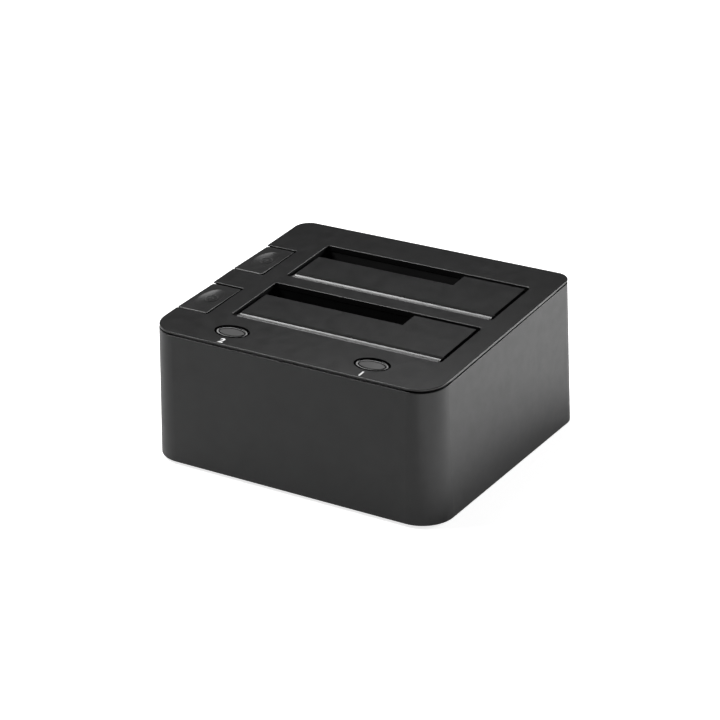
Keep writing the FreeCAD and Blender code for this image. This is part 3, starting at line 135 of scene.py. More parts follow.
def ramp(tree, source, first, second, start=0.3, end=0.7):
    """Turns a pattern into a colour between two."""
    item = add(tree, "ShaderNodeValToRGB", {"Fac": source})
    for stop, (position, colour) in zip(item.color_ramp.elements, ((start, first), (end, second))):
        stop.position = position
        stop.color = colour
    return item.outputs["Color"]


def bump(tree, height, depth, below=None):
    """Surface relief of the given depth, on top of another relief if one is given."""
    inputs = {"Height": height, "Distance": depth, "Strength": 1.0}
    if below:
        inputs["Normal"] = below
    return add(tree, "ShaderNodeBump", inputs).outputs["Normal"]


def material(name, inputs):
    """Makes a material with one Principled shader."""
    made = bpy.data.materials.new(name)
    made.use_nodes = True
    set_inputs(made.node_tree, inputs)
    return made


def set_inputs(tree, inputs):
    """Sets or joins sockets of a material's Principled shader."""
    shader = tree.nodes["Principled BSDF"]
    for name, source in inputs.items():
        if isinstance(source, bpy.types.NodeSocket):
            tree.links.new(source, shader.inputs[name])
        else:
            shader.inputs[name].default_value = source


MOTTLE_SIZE = 14 * MM
MOTTLE_SHARE = 0.12
GLOSS_SIZE = 5 * MM
GLOSS_CHANGE = 0.03


def moulded(name, level, roughness, grain, depth, tint=(1.0, 1.0, 1.0), gloss=0.5):
    """Moulded plastic: faint mottling, uneven gloss and a fine even grain."""
    made = material(name, {"Specular IOR Level": gloss})
    tree = made.node_tree
    mottle = noise(tree, MOTTLE_SIZE)
    polish = noise(tree, GLOSS_SIZE, 3.0)
    darker, paler = grey(level * (1 - MOTTLE_SHARE), tint), grey(level * (1 + MOTTLE_SHARE), tint)
    set_inputs(
        tree,
        {
            "Base Color": ramp(tree, mottle, darker, paler),
            "Roughness": spread(tree, polish, roughness - GLOSS_CHANGE, roughness + GLOSS_CHANGE),
            "Normal": bump(tree, noise(tree, grain, 1.0), depth),
        },
    )
    return made


# Painted shade: level of the dark side walls
SHADED_SIDE_LEVEL = 0.003
SIDE_ENDS = 0.75
TOP_STARTS = 0.95

# Numbers of the mix node's sockets for colours
MIX_FACTOR = 0
MIX_FIRST = 6
MIX_SECOND = 7
MIX_RESULT = 2


def side_shaded(name, level, roughness, grain, depth):
    """Plastic that is pale where it faces up, with painted shade on its sides: its side walls are dark to
    stand in for the shade in the gaps round them.
    """
    made = moulded(name, level, roughness, grain, depth)
    tree = made.node_tree
    normal = add(tree, "ShaderNodeNewGeometry", {}).outputs["Normal"]
    upwards = add(tree, "ShaderNodeSeparateXYZ", {"Vector": normal}).outputs["Z"]
    facing = spread(tree, upwards, 0.0, 1.0, SIDE_ENDS, TOP_STARTS)
    pale = tree.nodes["Principled BSDF"].inputs["Base Color"].links[0].from_socket
    inputs = {MIX_FACTOR: facing, MIX_FIRST: grey(SHADED_SIDE_LEVEL), MIX_SECOND: pale}
    mixed = add(tree, "ShaderNodeMix", inputs, data_type="RGBA")
    set_inputs(tree, {"Base Color": mixed.outputs[MIX_RESULT]})
    return made


DRAWN_SIZE = 1.2 * MM
DRAWN_DEPTH = 0.006 * MM
DRAWN_SHADE = 0.8


def metal(name, colour, roughness, stretch):
    """Bare metal with fine drawing lines along one direction."""
    made = material(name, {"Metallic": 1.0})
    tree = made.node_tree
    lines = noise(tree, DRAWN_SIZE, 3.0, stretch)
    darker = tuple(DRAWN_SHADE * part for part in colour[:3]) + (1.0,)
    set_inputs(
        tree,
        {
            "Base Color": ramp(tree, lines, darker, colour),
            "Roughness": spread(tree, lines, roughness - 0.06, roughness + 0.08),
            "Normal": bump(tree, lines, DRAWN_DEPTH),
        },
    )
    return made


TRACK_PITCH = 3.2 * MM
TRACK_DEPTH = 0.035 * MM
WEAVE_SIZE = 0.5 * MM
WEAVE_DEPTH = 0.01 * MM
MASK_GREEN = (0.012, 0.085, 0.035, 1.0)
TRACK_GREEN = (0.03, 0.17, 0.07, 1.0)


def board_material():
    """Green solder mask over copper tracks and the weave of the glass fibre."""
    made = material("board_green", {"Coat Weight": 0.3, "Coat Roughness": 0.2})
    tree = made.node_tree
    inputs = {"Vector": place_on_object(tree), "Scale": 1.0 / TRACK_PITCH, "Randomness": 0.75}
    cells = add(tree, "ShaderNodeTexVoronoi", inputs, feature="DISTANCE_TO_EDGE")
    track = spread(tree, cells.outputs["Distance"], 1.0, 0.0, 0.05, 0.08)
    weave = noise(tree, WEAVE_SIZE, 1.0, (1.0, 0.35, 1.0))
    set_inputs(
        tree,
        {
            "Base Color": ramp(tree, track, MASK_GREEN, TRACK_GREEN, 0.2, 0.8),
            "Roughness": spread(tree, weave, 0.34, 0.48),
            "Normal": bump(tree, weave, WEAVE_DEPTH, bump(tree, track, TRACK_DEPTH)),
        },
    )
    return made


HIGHEST_CORNER = 6
BARE_TOP = 0.5 * MM
BARE_START = 0.4 * MM
SLEEVE_BLACK = (0.018, 0.02, 0.03, 1.0)
CAN_GREY = (0.75, 0.75, 0.76, 1.0)


def capacitor_material():
    """Sleeve round an aluminium can whose bare top shows above it."""
    made = material("can_aluminium", {"Coat Weight": 0.2})
    tree = made.node_tree
    inputs = {"Vector": place_on_object(tree)}
    height = add(tree, "ShaderNodeSeparateXYZ", inputs).outputs["Z"]
    top = NODES["board_capacitors"].bound_box[HIGHEST_CORNER][2]
    bare = spread(tree, height, 0.0, 1.0, top - BARE_TOP, top - BARE_START)
    scuffs = noise(tree, 1.5 * MM, 3.0)
    set_inputs(
        tree,
        {
            "Base Color": ramp(tree, bare, SLEEVE_BLACK, CAN_GREY, 0.2, 0.8),
            "Metallic": bare,
            "Roughness": spread(tree, scuffs, 0.26, 0.38),
            "Normal": bump(tree, scuffs, 0.01 * MM),
        },
    )
    return made


# The wave pattern repeats every pi / 10 over its scale
CABLE_PITCH = 1.0 * MM
CABLE_RIB = 0.2 * MM


def cable_material():
    """Grey ribbon cable with a rib over each wire, darker in the grooves between the ribs as painted shade.
    """
    made = material("cable_grey", {})
    tree = made.node_tree
    inputs = {"Vector": place_on_object(tree), "Scale": math.pi / (10 * CABLE_PITCH)}
    ribs = add(tree, "ShaderNodeTexWave", inputs, bands_direction="X").outputs["Fac"]
    mottle = noise(tree, 4 * MM)
    set_inputs(
        tree,
        {
            "Base Color": ramp(tree, ribs, grey(0.26), grey(0.36), 0.05, 0.4),
            "Roughness": spread(tree, mottle, 0.42, 0.52),
            "Normal": bump(tree, ribs, CABLE_RIB),
        },
    )
    return made


LEVER_TINT = (1.0, 0.98, 0.92)
COOL = (0.97, 0.98, 1.0)
SURFACES = {
    "case_plastic": moulded("case_plastic", 0.016, 0.42, 0.32 * MM, 0.012 * MM, COOL),
    "cover_plastic": moulded("cover_plastic", 0.008, 0.34, 0.5 * MM, 0.014 * MM, COOL),
    "gloss_black": moulded("gloss_black", 0.02, 0.3, 0.5 * MM, 0.002 * MM),
    # The inner plastic is very dark: painted shade for the deep wells.
    "inner_plastic": moulded("inner_plastic", 0.003, 0.5, 0.4 * MM, 0.01 * MM, gloss=0.3),
    "lever_plastic": moulded("lever_plastic", 0.6, 0.36, 0.4 * MM, 0.004 * MM, LEVER_TINT),
    # The light ring's side walls carry painted shade.
    "clear_plastic": side_shaded("clear_plastic", 0.34, 0.34, 0.25 * MM, 0.006 * MM),
    "foot_rubber": moulded("foot_rubber", 0.022, 0.75, 0.35 * MM, 0.03 * MM, gloss=0.3),
    "steel": metal("steel", (0.62, 0.62, 0.63, 1.0), 0.28, (1.0, 1.0, 12.0)),
    "board_green": board_material(),
    "contact_gold": metal("contact_gold", (0.85, 0.6, 0.24, 1.0), 0.22, (1.0, 1.0, 6.0)),
    "chip_epoxy": moulded("chip_epoxy", 0.02, 0.55, 0.2 * MM, 0.012 * MM),
    "cable_grey": cable_material(),
    "tongue_blue": moulded("tongue_blue", 0.5, 0.35, 0.4 * MM, 0.003 * MM, (0.04, 0.22, 1.0)),
    "can_aluminium": capacitor_material(),
}
# The button face's side walls carry painted shade.
BUTTON_FACE = side_shaded("button_face", 0.08, 0.36, 0.25 * MM, 0.008 * MM)
PAD_FACE = moulded("pad_face", 0.018, 0.32, 0.3 * MM, 0.006 * MM)
BEAD = moulded("bead_black", 0.02, 0.28, 0.3 * MM, 0.002 * MM)
# The rear well gets a paler copy of the inner plastic: painted light on its wall.
REAR_WELL_LIT = moulded("rear_well_lit", 0.02, 0.5, 0.4 * MM, 0.01 * MM, gloss=0.3)
# The eject sign is paler than its pad: painted highlight on the raised sign.
PAD_SIGN_HIGHLIGHT = moulded("pad_sign_highlight", 0.05, 0.28, 0.3 * MM, 0.002 * MM)
PAINT = moulded("white_paint", 0.85, 0.45, 0.3 * MM, 0.003 * MM)
# Pale grey for the pad beads: a painted highlight along the pads' edges.
PAD_HIGHLIGHT = moulded("pad_highlight", 0.15, 0.3, 0.3 * MM, 0.002 * MM)
# Matte black for thin sheets that paint shade into gaps.
SHADE = moulded("shade_black", 0.001, 0.8, 0.3 * MM, 0.002 * MM, gloss=0.0)
NOSE_FACE = moulded("nose_face", 0.008, 0.3, 0.3 * MM, 0.004 * MM)
for part in frame["record"]["subparts"]:
    NODES[part["node"]].material_slots[0].material = SURFACES[part["material_slot"]]
for number in BUTTONS:
    NODES[f"power_button_{number}"].material_slots[0].material = BUTTON_FACE
for bay in BAYS:
    NODES[f"eject_button_{bay}"].material_slots[0].material = PAD_FACE
NODES["drive_well_rear"].material_slots[0].material = REAR_WELL_LIT


# Pieces

def finish_piece(name, mesh, surface, body, smooth=True):
    """Makes an object of a mesh, gives it a surface and lets it ride on a body."""
    piece = bpy.data.objects.new(name, mesh)
    bpy.context.scene.collection.objects.link(piece)
    mesh.materials.clear()
    mesh.materials.append(surface)
    for face in mesh.polygons:
        face.use_smooth = smooth
    if body:
        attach(piece, body)
    return piece


def finish_form(name, form, surface, body):
    """Turns a built form into a piece with flat faces."""
    bmesh.ops.recalc_face_normals(form, faces=form.faces)
    mesh = bpy.data.meshes.new(name)
    form.to_mesh(mesh)
    form.free()
    return finish_piece(name, mesh, surface, body, smooth=False)


def wall(form, first, second):
    """Adds the faces between two closed rows with as many corners."""
    for index in range(len(first)):
        after = (index + 1) % len(first)
        form.faces.new((first[index], first[after], second[after], second[index]))


def top_at(y):
    """Height of the case's sloping top at a place front to back."""
    return TOP_HEIGHT + y * math.tan(SLOPE)


def on_top(x, y, drop=0.0):
    """Place on the sloping top, or under it."""
    return Vector((x, y, top_at(y) - drop))


def middle_of(node):
    """Lowest corner, highest corner and centre of a node."""
    low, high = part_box(node)
    return low, high, (low + high) / 2


WIRE_ROUNDNESS = 3


def wire(name, points, radius):
    """Mesh of a round wire along points."""
    curve = bpy.data.curves.new(name, "CURVE")
    curve.dimensions = "3D"
    curve.bevel_depth = radius
    curve.bevel_resolution = WIRE_ROUNDNESS
    curve.use_fill_caps = True
    line = curve.splines.new("POLY")
    line.points.add(len(points) - 1)
    for point, at in zip(line.points, points):
        point.co = (*at, 1.0)
    holder = bpy.data.objects.new(name, curve)
    mesh = bpy.data.meshes.new_from_object(holder)
    bpy.data.objects.remove(holder)
    bpy.data.curves.remove(curve)
    return mesh


# Compression springs under the eject pads
EJECT_WIRE = 0.8 * MM
EJECT_TURNS = 6
TURN_STEPS = 36
END_TURN = 0.85


def closed_rise(turn, turns, wire_width, length):
    """Height of a spring's wire after so many turns, with a flat turn at each end."""
    open_turns = turns - 2 * END_TURN
    open_length = length - wire_width - 2 * END_TURN * wire_width
    if turn < END_TURN:
        return turn * wire_width
    if turn > turns - END_TURN:
        return length - wire_width - (turns - turn) * wire_width
    return END_TURN * wire_width + open_length * (turn - END_TURN) / open_turns


def eject_spring(bay):
    """Round-wire compression spring under a pad."""
    node = f"eject_spring_{bay}"
    low, high, middle = middle_of(node)
    radius = (high.y - low.y - EJECT_WIRE) / 2
    points = []
    for step in range(EJECT_TURNS * TURN_STEPS + 1):
        turn = step / TURN_STEPS
        rise = closed_rise(turn, EJECT_TURNS, EJECT_WIRE, high.z - low.z)
        angle = 2 * math.pi * turn
        at = Vector((radius * math.cos(angle), radius * math.sin(angle), rise + EJECT_WIRE / 2))
        points.append(Vector((middle.x, middle.y, low.z)) + at)
    mesh = wire(f"{node}_wire", points, EJECT_WIRE / 2)
    piece = finish_piece(f"{node}_wire", mesh, SURFACES["steel"], "dock")
    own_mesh(piece)
    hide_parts(node)
    return piece


# Torsion springs round the flap pins
FLAP_WIRE = 0.5 * MM
FLAP_TURNS = 5
FLAP_SPRING_RADIUS = 1.45 * MM
FLAP_FOOT = 3.9 * MM
FLAP_LEG = 8.0 * MM
FLAP_LIFT = 0.5 * MM


def flap_spring(bay):
    """Round-wire torsion spring round a flap pin, with a foot and a leg."""
    node = f"flap_spring_{bay}"
    pin = middle_of(f"flap_pin_{bay}")[2]
    low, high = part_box(node)
    first = low.x + FLAP_WIRE / 2
    length = high.x - low.x - FLAP_WIRE
    points = [Vector((0, -FLAP_FOOT, -FLAP_SPRING_RADIUS))]
    for step in range(FLAP_TURNS * TURN_STEPS + 1):
        turn = step / TURN_STEPS
        angle = 2 * math.pi * turn
        along = length * turn / FLAP_TURNS
        points.append(
            Vector((along, FLAP_SPRING_RADIUS * math.sin(angle), -FLAP_SPRING_RADIUS * math.cos(angle)))
        )
    lift = FLAP_SPRING_RADIUS + FLAP_LIFT
    points.append(points[-1] + Vector((0, math.sqrt(FLAP_LEG**2 - lift**2), lift)))
    lean = Matrix.Rotation(SLOPE, 4, "X")
    centre = Vector((first, pin.y, pin.z))
    points = [centre + lean @ point for point in points]
    mesh = wire(f"{node}_wire", points, FLAP_WIRE / 2)
    piece = finish_piece(f"{node}_wire", mesh, SURFACES["steel"], None)
    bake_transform(piece)
    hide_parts(node)
    return piece


for bay in BAYS:
    eject_spring(bay)
    flap_spring(bay)


# Marks that lie on a piece's skin

def circle(radius, middle, count=40):
    """Points round a circle."""
    x, y = middle
    angles = [2 * math.pi * step / count for step in range(count)]
    return [(x + radius * math.cos(angle), y + radius * math.sin(angle)) for angle in angles]


def skin_of(node, up):
    """Gives the function that finds the outermost point of a node above or behind two numbers."""
    mesh = NODES[node].data
    tree = BVHTree.FromPolygons(
        [vertex.co.copy() for vertex in mesh.vertices], [tuple(face.vertices) for face in mesh.polygons]
    )

    def at(across, along):
        start = Vector((across, along, 0.0)) if up.z else Vector((across, 0.0, along))
        return tree.ray_cast(start + up, -up)[0]

    return at


def relief(name, shapes, at, up, height, surface, body):
    """Raised shapes, each an outer outline with an inner one or none, that follow a skin."""
    form = bmesh.new()
    for outer, inner in shapes:
        rows = []
        for outline in (outer, inner) if inner else (outer,):
            feet = [at(*point) for point in outline]
            lifts = (-MARK_SUNK, height)
            rows.append([[form.verts.new(foot + up * lift) for foot in feet] for lift in lifts])
        low, high = rows[0]
        wall(form, low, high)
        if inner:
            inner_low, inner_high = rows[1]
            wall(form, inner_high, inner_low)
            wall(form, high, inner_high)
            wall(form, inner_low, low)
        else:
            form.faces.new(high)
            form.faces.new(low[::-1])
    return finish_form(name, form, surface, body)


MARK_SUNK = 0.1 * MM
UP = Vector((0.0, 0.0, 1.0))
BACKWARDS = Vector((0.0, 1.0, 0.0))

# Eject sign moulded into each pad: a bar and a triangle in a ring
SIGN_SHIFT = 1.5 * MM
SIGN_RING = 3.1 * MM
SIGN_LINE = 0.45 * MM
SIGN_HALF = 1.5 * MM
SIGN_HEIGHT = 0.16 * MM
TRIANGLE_BASE = -0.375 * MM
TRIANGLE_TIP = 1.575 * MM
BAR_LOW = -1.47 * MM
BAR_HIGH = -0.93 * MM


def eject_sign(bay):
    """Raised eject sign in the finger dish of a pad."""
    node = f"eject_button_{bay}"
    middle = middle_of(node)[2]
    x, y = middle.x, middle.y + SIGN_SHIFT
    ring = (circle(SIGN_RING, (x, y)), circle(SIGN_RING - SIGN_LINE, (x, y)))
    left, right = x - SIGN_HALF, x + SIGN_HALF
    triangle = [(left, y + TRIANGLE_BASE), (right, y + TRIANGLE_BASE), (x, y + TRIANGLE_TIP)]
    bar = [(left, y + BAR_LOW), (right, y + BAR_LOW), (right, y + BAR_HIGH), (left, y + BAR_HIGH)]
    shapes = [ring, (triangle, None), (bar, None)]
    return relief(f"eject_sign_{bay}", shapes, skin_of(node, UP), UP, SIGN_HEIGHT, PAD_SIGN_HIGHLIGHT, node)


for bay in BAYS:
    eject_sign(bay)

# On and off marks on the rocker
PAINT_HEIGHT = 0.03 * MM
MARK_RADIUS = 1.4 * MM
MARK_LINE = 0.4 * MM


def rocker_marks():
    """Bar over a ring, painted on the rocker's face."""
    low, high, middle = middle_of("power_switch_rocker")
    step = (high.z - low.z) / 4
    bar_low, bar_high = middle.z + step - MARK_RADIUS, middle.z + step + MARK_RADIUS
    left, right = middle.x - MARK_LINE / 2, middle.x + MARK_LINE / 2
    bar = [(left, bar_low), (right, bar_low), (right, bar_high), (left, bar_high)]
    at = (middle.x, middle.z - step)
    ring = (circle(MARK_RADIUS, at), circle(MARK_RADIUS - MARK_LINE, at))
    skin = skin_of("power_switch_rocker", BACKWARDS)
    return relief("rocker_marks", [(bar, None), ring], skin, BACKWARDS, PAINT_HEIGHT, PAINT, "power_rocker")


rocker_marks()

# Painted numbers in front of the power buttons
NUMERAL_HEIGHT = 3.6 * MM
NUMERAL_BOLD = 0.035
CAP_SHARE = 0.7
NUMERAL_SHIFT = {"1": 0.2 * MM, "2": 0.9 * MM}
NUMERAL_DROP = 9.35 * MM
PAINT_THICKNESS = 0.04 * MM


def numeral(text):
    """Number of a power button, painted flat on the sloping cover."""
    curve = bpy.data.curves.new(f"numeral_{text}", "FONT")
    curve.body = text
    curve.size = NUMERAL_HEIGHT / CAP_SHARE
    curve.offset = NUMERAL_BOLD * curve.size
    curve.align_x = "CENTER"
    curve.align_y = "CENTER"
    curve.extrude = PAINT_THICKNESS / 2
    holder = bpy.data.objects.new("numeral", curve)
    mesh = bpy.data.meshes.new_from_object(holder)
    bpy.data.objects.remove(holder)
    bpy.data.curves.remove(curve)
    middle = middle_of(f"power_button_{text}")[2]
    y = middle.y - NUMERAL_DROP
    place = Vector((middle.x + NUMERAL_SHIFT[text], y, top_at(y)))
    mesh.transform(Matrix.Translation(place) @ Matrix.Rotation(SLOPE, 4, "X"))
    return finish_piece(f"numeral_{text}", mesh, PAINT, "dock", smooth=False)


for text in NUMERAL_SHIFT:
    numeral(text)


# Crisp front edge of each flap, laid over its round nose
NOSE_RADIUS = 3.0 * MM
NOSE_BACK = 3.2 * MM
NOSE_CORNER = 0.1 * MM
NOSE_LIFT = 0.5 * MM
NOSE_SUNK = 0.04 * MM
NOSE_ROUND = 5.0 * MM
NOSE_START = math.radians(34)
NOSE_END = math.radians(56)
NOSE_STEPS = 12
HUB_LENGTH = (2.7 * MM, 1.9 * MM)


def nose_outline():
    """Section about the hinge axis: a slight rise, then a sharp corner and an arc down to the nose."""
    corner = Vector((-NOSE_CORNER, NOSE_RADIUS + NOSE_LIFT))
    centre = corner - NOSE_ROUND * Vector((-math.sin(NOSE_START), math.cos(NOSE_START)))
    outline = [Vector((0.0, NOSE_RADIUS - NOSE_LIFT)), Vector((NOSE_BACK, NOSE_RADIUS - NOSE_SUNK))]
    for step in range(NOSE_STEPS + 1):
        angle = NOSE_START + (NOSE_END - NOSE_START) * step / NOSE_STEPS
        outline.append(centre + NOSE_ROUND * Vector((-math.sin(angle), math.cos(angle))))
    return outline


def nose_edge(bay):
    """Strip along a flap's nose, with flat ends."""
    node = f"flap_{bay}"
    pin = middle_of(f"flap_pin_{bay}")[2]
    low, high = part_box(node)
    left, right = low.x + HUB_LENGTH[0], high.x - HUB_LENGTH[1]
    lean = Matrix.Rotation(SLOPE, 4, "X")
    form = bmesh.new()
    rows = []
    for x in (left, right):
        end = Vector((x, pin.y, pin.z))
        row = [end + lean @ Vector((0.0, across, up)) for across, up in nose_outline()]
        rows.append([form.verts.new(point) for point in row])
    wall(form, *rows)
    for row in rows:
        form.faces.new(row)
    return finish_form(f"nose_edge_{bay}", form, NOSE_FACE, node)


for bay in BAYS:
    nose_edge(bay)


# Bead in the seam under the cover, which stops at the inlets of the eject pads
SEAM_BEAD = 0.33 * MM
SEAM_BEAD_INSET = 0.75 * MM
SEAM_BEAD_DROP = 1.36 * MM
SEAM_STOP = 1.0 * MM
PAD_INLET = 17.0 * MM
COVER_CORNER = 17.0 * MM
CORNER_STEPS = 16


def quarter(x, y, radius, start):
    """Points of a quarter circle round a place, from an angle in degrees."""
    angles = [math.radians(start + 90 * step / CORNER_STEPS) for step in range(CORNER_STEPS + 1)]
    return [(x + radius * math.cos(angle), y + radius * math.sin(angle)) for angle in angles]


def seam_bead():
    """Bead from the left side's front end round the case to its rear end."""
    low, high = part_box("top_cover")
    radius = COVER_CORNER - SEAM_BEAD_INSET
    left, right = low.x + COVER_CORNER, high.x - COVER_CORNER
    front, back = low.y + COVER_CORNER, high.y - COVER_CORNER
    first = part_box("eject_button_front")[0].y - SEAM_STOP
    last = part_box("eject_button_rear")[1].y + SEAM_STOP
    plan = []
    for x, y, start in ((left, front, 180), (right, front, 270), (right, back, 0), (left, back, 90)):
        plan += quarter(x, y, radius, start)
    plan = [(x, y) for x, y in plan if x > low.x + PAD_INLET or not first < y < last]
    mesh = wire("seam_bead", [on_top(x, y, SEAM_BEAD_DROP) for x, y in plan], SEAM_BEAD)
    return finish_piece("seam_bead", mesh, BEAD, "dock")


seam_bead()

# Painted shade on both sides of each button's light ring: thin matte black ovals where the gaps beside it
# fall dark; half length and half width of their inner edges
RING_BORE = (6.5 * MM, 3.55 * MM)
RING_OUTSIDE = (7.7 * MM, 4.75 * MM)
LINE_WIDTH = 0.16 * MM
SHADE_WIDTH = 0.8 * MM
SHADE_HEIGHT = 0.05 * MM
OVAL_STEPS = 64


def ellipse(half_length, half_width, middle):
    """Points round an ellipse with its long axis along x."""
    turns = circle(1.0, (0.0, 0.0), OVAL_STEPS)
    return [(middle.x + x * half_length, middle.y + y * half_width) for x, y in turns]


def oval_shade(name, half, width, middle):
    """Thin matte black oval sheet that paints shade."""
    shape = (ellipse(half[0] + width, half[1] + width, middle), ellipse(*half, middle))
    return relief(name, [shape], on_top, UP, SHADE_HEIGHT, SHADE, "dock")


for number in BUTTONS:
    place = middle_of(f"light_ring_{number}")[2]
    oval_shade(f"ring_shade_{number}", RING_OUTSIDE, SHADE_WIDTH, place)
    oval_shade(f"ring_shade_line_{number}", RING_BORE, LINE_WIDTH, place)

# Fine bead along the front and right edges of each eject pad, whose pale colour is a painted highlight, and
# a flat black strip of painted shade on the cover beside it
PAD_BEAD = 0.17 * MM
PAD_INSET = 0.3 * MM
PAD_ROUND = 1.1 * MM
PAD_STEPS = 40
PAD_SHADE_WIDTH = 0.55 * MM
PAD_SHADE_GAP = 0.33 * MM


def pad_highlight(bay):
    """Bead that follows the pad's sloping and dished top; its pale colour is a painted highlight."""
    node = f"eject_button_{bay}"
    skin = skin_of(node, UP)
    low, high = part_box(node)
    bend = PAD_ROUND - PAD_INSET
    left, right = low.x + PAD_ROUND, high.x - PAD_ROUND
    front, back = low.y + PAD_ROUND, high.y - PAD_ROUND
    shares = [step / PAD_STEPS for step in range(PAD_STEPS)]
    plan = [(left + (right - left) * share, front - bend) for share in shares]
    plan += quarter(right, front, bend, -90)[:-1]
    plan += [(right + bend, front + (back - front) * share) for share in (*shares, 1.0)]
    mesh = wire(f"pad_highlight_{bay}", [skin(*place) for place in plan], PAD_BEAD)
    return finish_piece(f"pad_highlight_{bay}", mesh, PAD_HIGHLIGHT, node)


def pad_shade(bay):
    """Flat black strip along the pad's right side, which paints the shade of the gap there."""
    low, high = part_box(f"eject_button_{bay}")
    left = high.x + PAD_SHADE_GAP
    right = left + PAD_SHADE_WIDTH
    strip = [(left, low.y), (right, low.y), (right, high.y), (left, high.y)]
    return relief(f"pad_shade_{bay}", [(strip, None)], on_top, UP, SHADE_HEIGHT, SHADE, "dock")


for bay in BAYS:
    pad_highlight(bay)
    pad_shade(bay)


# Screws with a cross recess, in place of the plain ones
CROSS_ARM = 1.35 * MM
CROSS_HALF = 0.32 * MM
CROSS_DEPTH = 0.7 * MM
HEAD_RADIUS = 2.7 * MM
HEAD_HEIGHT = 1.1 * MM
HEAD_ROUND = 0.35 * MM
SHANK_RADIUS = 1.2 * MM
NEIGHBOUR = 4.0 * MM
SCREW_STEPS = 32


def screw_places(node):
    """Middle of each screw of a node."""
    places = []
    for vertex in NODES[node].data.vertices:
        spot = Vector(vertex.co[:2])
        for found in places:
            if (spot - found[0]).length < NEIGHBOUR:
                found.append(spot)
                break
        else:
            places.append([spot])
    middles = []
    for found in places:
        across = [spot.x for spot in found]
        along = [spot.y for spot in found]
        middles.append(((min(across) + max(across)) / 2, (min(along) + max(along)) / 2))
    return middles


def corners_at(form, outline, height):
    """Corners of an outline at one height."""
    return [form.verts.new((x, y, height)) for x, y in outline]


def cross(x, y):
    """Outline of a cross recess round a place, made of one arm turned four times."""
    outline = []
    arm = [(CROSS_ARM, -CROSS_HALF), (CROSS_ARM, CROSS_HALF), (CROSS_HALF, CROSS_HALF)]
    for _ in range(4):
        outline += [(x + across, y + along) for across, along in arm]
        arm = [(-along, across) for across, along in arm]
    return outline


def add_screw(form, middle, low, high):
    """Screw with its head downwards and a cross recess in the head."""
    sections = (
        (HEAD_RADIUS - HEAD_ROUND, low),
        (HEAD_RADIUS, low + HEAD_ROUND),
        (HEAD_RADIUS, low + HEAD_HEIGHT),
        (SHANK_RADIUS, low + HEAD_HEIGHT),
        (SHANK_RADIUS, high),
    )
    rings = [corners_at(form, circle(radius, middle, SCREW_STEPS), height) for radius, height in sections]
    for first, second in zip(rings, rings[1:]):
        wall(form, first, second)
    form.faces.new(rings[-1])
    mouth = corners_at(form, cross(*middle), low)
    bottom = corners_at(form, cross(*middle), low + CROSS_DEPTH)
    wall(form, mouth, bottom)
    form.faces.new(bottom)
    edges = []
    for loop in (rings[0], mouth):
        edges += [form.edges.get((loop[index], loop[index - 1])) for index in range(len(loop))]
    bmesh.ops.triangle_fill(form, use_beauty=True, edges=edges)


def screws(node):
    """All screws of a node as one piece."""
    low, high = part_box(node)
    form = bmesh.new()
    for middle in screw_places(node):
        add_screw(form, middle, low.z, high.z)
    piece = finish_form(f"{node}_cross", form, SURFACES["steel"], "dock")
    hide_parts(node)
    return piece


for node in ("case_screws", "well_screws"):
    screws(node)


# Studio
FLOOR_GAP = 0.02 * MM
FLOOR_LEVEL = cad_box[0].z - FLOOR_GAP
FLOOR_SIZE = 3.0
FLOOR_WHITE = 0.8
FLOOR_GLOW = 0.8
# Painted glow that reflections see: dim in front of the case, bright off to the right
FLOOR_FRONT = 0.08
FLOOR_SIDE = 1.12
SIDE_START = 86 * MM
SIDE_END = 115 * MM
BACKDROP = 1.0
HORIZON = 0.1
CEILING = 0.03
HORIZON_TOP = 0.1
CEILING_START = 0.45


def floor_strength(tree):
    """Glow of the floor: even to the camera; in reflections a painted glow, dim in front of the case and
    brighter off to the right.
    """
    rays = add(tree, "ShaderNodeLightPath", {})
    where = add(tree, "ShaderNodeTexCoord", {}).outputs["Object"]
    across = add(tree, "ShaderNodeSeparateXYZ", {"Vector": where}).outputs["X"]
    side = spread(tree, across, FLOOR_FRONT, FLOOR_SIDE, SIDE_START, SIDE_END)
    seen = add(
        tree,
        "ShaderNodeMath",
        {0: rays.outputs["Is Camera Ray"], 1: rays.outputs["Is Transmission Ray"]},
        operation="MAXIMUM",
    )
    even = add(tree, "ShaderNodeMath", {0: seen.outputs["Value"], 1: FLOOR_GLOW}, operation="MULTIPLY")
    inputs = {0: rays.outputs["Is Glossy Ray"], 1: side, 2: even.outputs["Value"]}
    return add(tree, "ShaderNodeMath", inputs, operation="MULTIPLY_ADD").outputs["Value"]


def floor():
    """Plain pale floor that keeps a soft shadow."""
    mesh = bpy.data.meshes.new("floor")
    half = FLOOR_SIZE / 2
    plan = ((-half, -half), (half, -half), (half, half), (-half, half))
    mesh.from_pydata([(x, y, FLOOR_LEVEL) for x, y in plan], [], [(0, 1, 2, 3)])
    inputs = {"Base Color": grey(FLOOR_WHITE), "Roughness": 0.9, "Specular IOR Level": 0.0}
    made = material("floor_white", inputs)
    tree = made.node_tree
    glow = add(tree, "ShaderNodeEmission", {"Color": grey(1.0), "Strength": floor_strength(tree)})
    surface = tree.nodes["Principled BSDF"].outputs["BSDF"]
    both = add(tree, "ShaderNodeAddShader", {0: surface, 1: glow.outputs["Emission"]})
    tree.links.new(both.outputs["Shader"], tree.nodes["Material Output"].inputs["Surface"])
    piece = bpy.data.objects.new("floor", mesh)
    mesh.materials.append(made)
    bpy.context.scene.collection.objects.link(piece)
    return piece


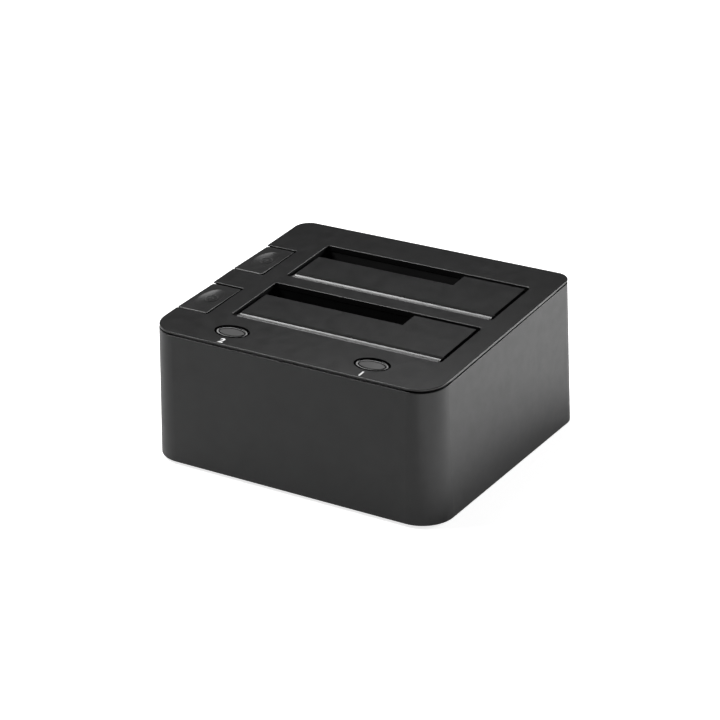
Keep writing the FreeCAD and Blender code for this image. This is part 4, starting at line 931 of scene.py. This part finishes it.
def world():
    """White surroundings to the camera; reflections see a grey horizon under a dim ceiling."""
    made = bpy.data.worlds.new("studio")
    made.use_nodes = True
    tree = made.node_tree
    where = add(tree, "ShaderNodeTexCoord", {})
    height = add(tree, "ShaderNodeSeparateXYZ", {"Vector": where.outputs["Generated"]}).outputs["Z"]
    room = spread(tree, height, HORIZON, CEILING, HORIZON_TOP, CEILING_START)
    camera = add(tree, "ShaderNodeLightPath", {}).outputs["Is Camera Ray"]
    level = add(tree, "ShaderNodeMix", {0: camera, 2: room, 3: BACKDROP}, data_type="FLOAT")
    back = tree.nodes["Background"]
    back.inputs["Color"].default_value = grey(1.0)
    tree.links.new(level.outputs[0], back.inputs["Strength"])
    bpy.context.scene.world = made


def softbox(name, at, aim, width, height, power):
    """Rectangular area light that points at a place."""
    light = bpy.data.lights.new(name, "AREA")
    light.shape = "RECTANGLE"
    light.size = width
    light.size_y = height
    light.energy = power
    piece = bpy.data.objects.new(name, light)
    piece.location = at
    piece.rotation_euler = (Vector(aim) - Vector(at)).to_track_quat("-Z", "Y").to_euler()
    bpy.context.scene.collection.objects.link(piece)
    return piece


CENTRE = (0.0, 0.0, 0.035)
floor()
world()
softbox("key", (-0.55, -0.25, 0.95), CENTRE, 0.35, 0.35, 8.4)
softbox("sheen", (-0.15, 0.25, 0.55), CENTRE, 0.25, 0.25, 0.9)
softbox("back_left", (-0.5, 0.25, 0.9), CENTRE, 0.15, 0.15, 0.9)
softbox("left", (-1.2, 0.0, 0.35), CENTRE, 0.6, 0.6, 4.0)
softbox("right_back", (0.9, 0.9, 0.35), CENTRE, 0.7, 0.5, 12.5)

# Camera at the photograph's angle
CAMERA_AT = (0.51019, -0.81395, 0.4702)
CAMERA_TURN = Euler([math.radians(angle) for angle in (65.7927, 1.1357, 31.6835)], "XYZ")
CAMERA_LENS = 118.41
SENSOR_WIDTH = 36.0

lens = bpy.data.cameras.new("camera")
lens.lens = CAMERA_LENS
lens.sensor_width = SENSOR_WIDTH
camera = bpy.data.objects.new("camera", lens)
camera.location = CAMERA_AT
camera.rotation_euler = CAMERA_TURN
bpy.context.scene.collection.objects.link(camera)
bpy.context.scene.camera = camera
bpy.context.scene.view_settings.view_transform = "Standard"
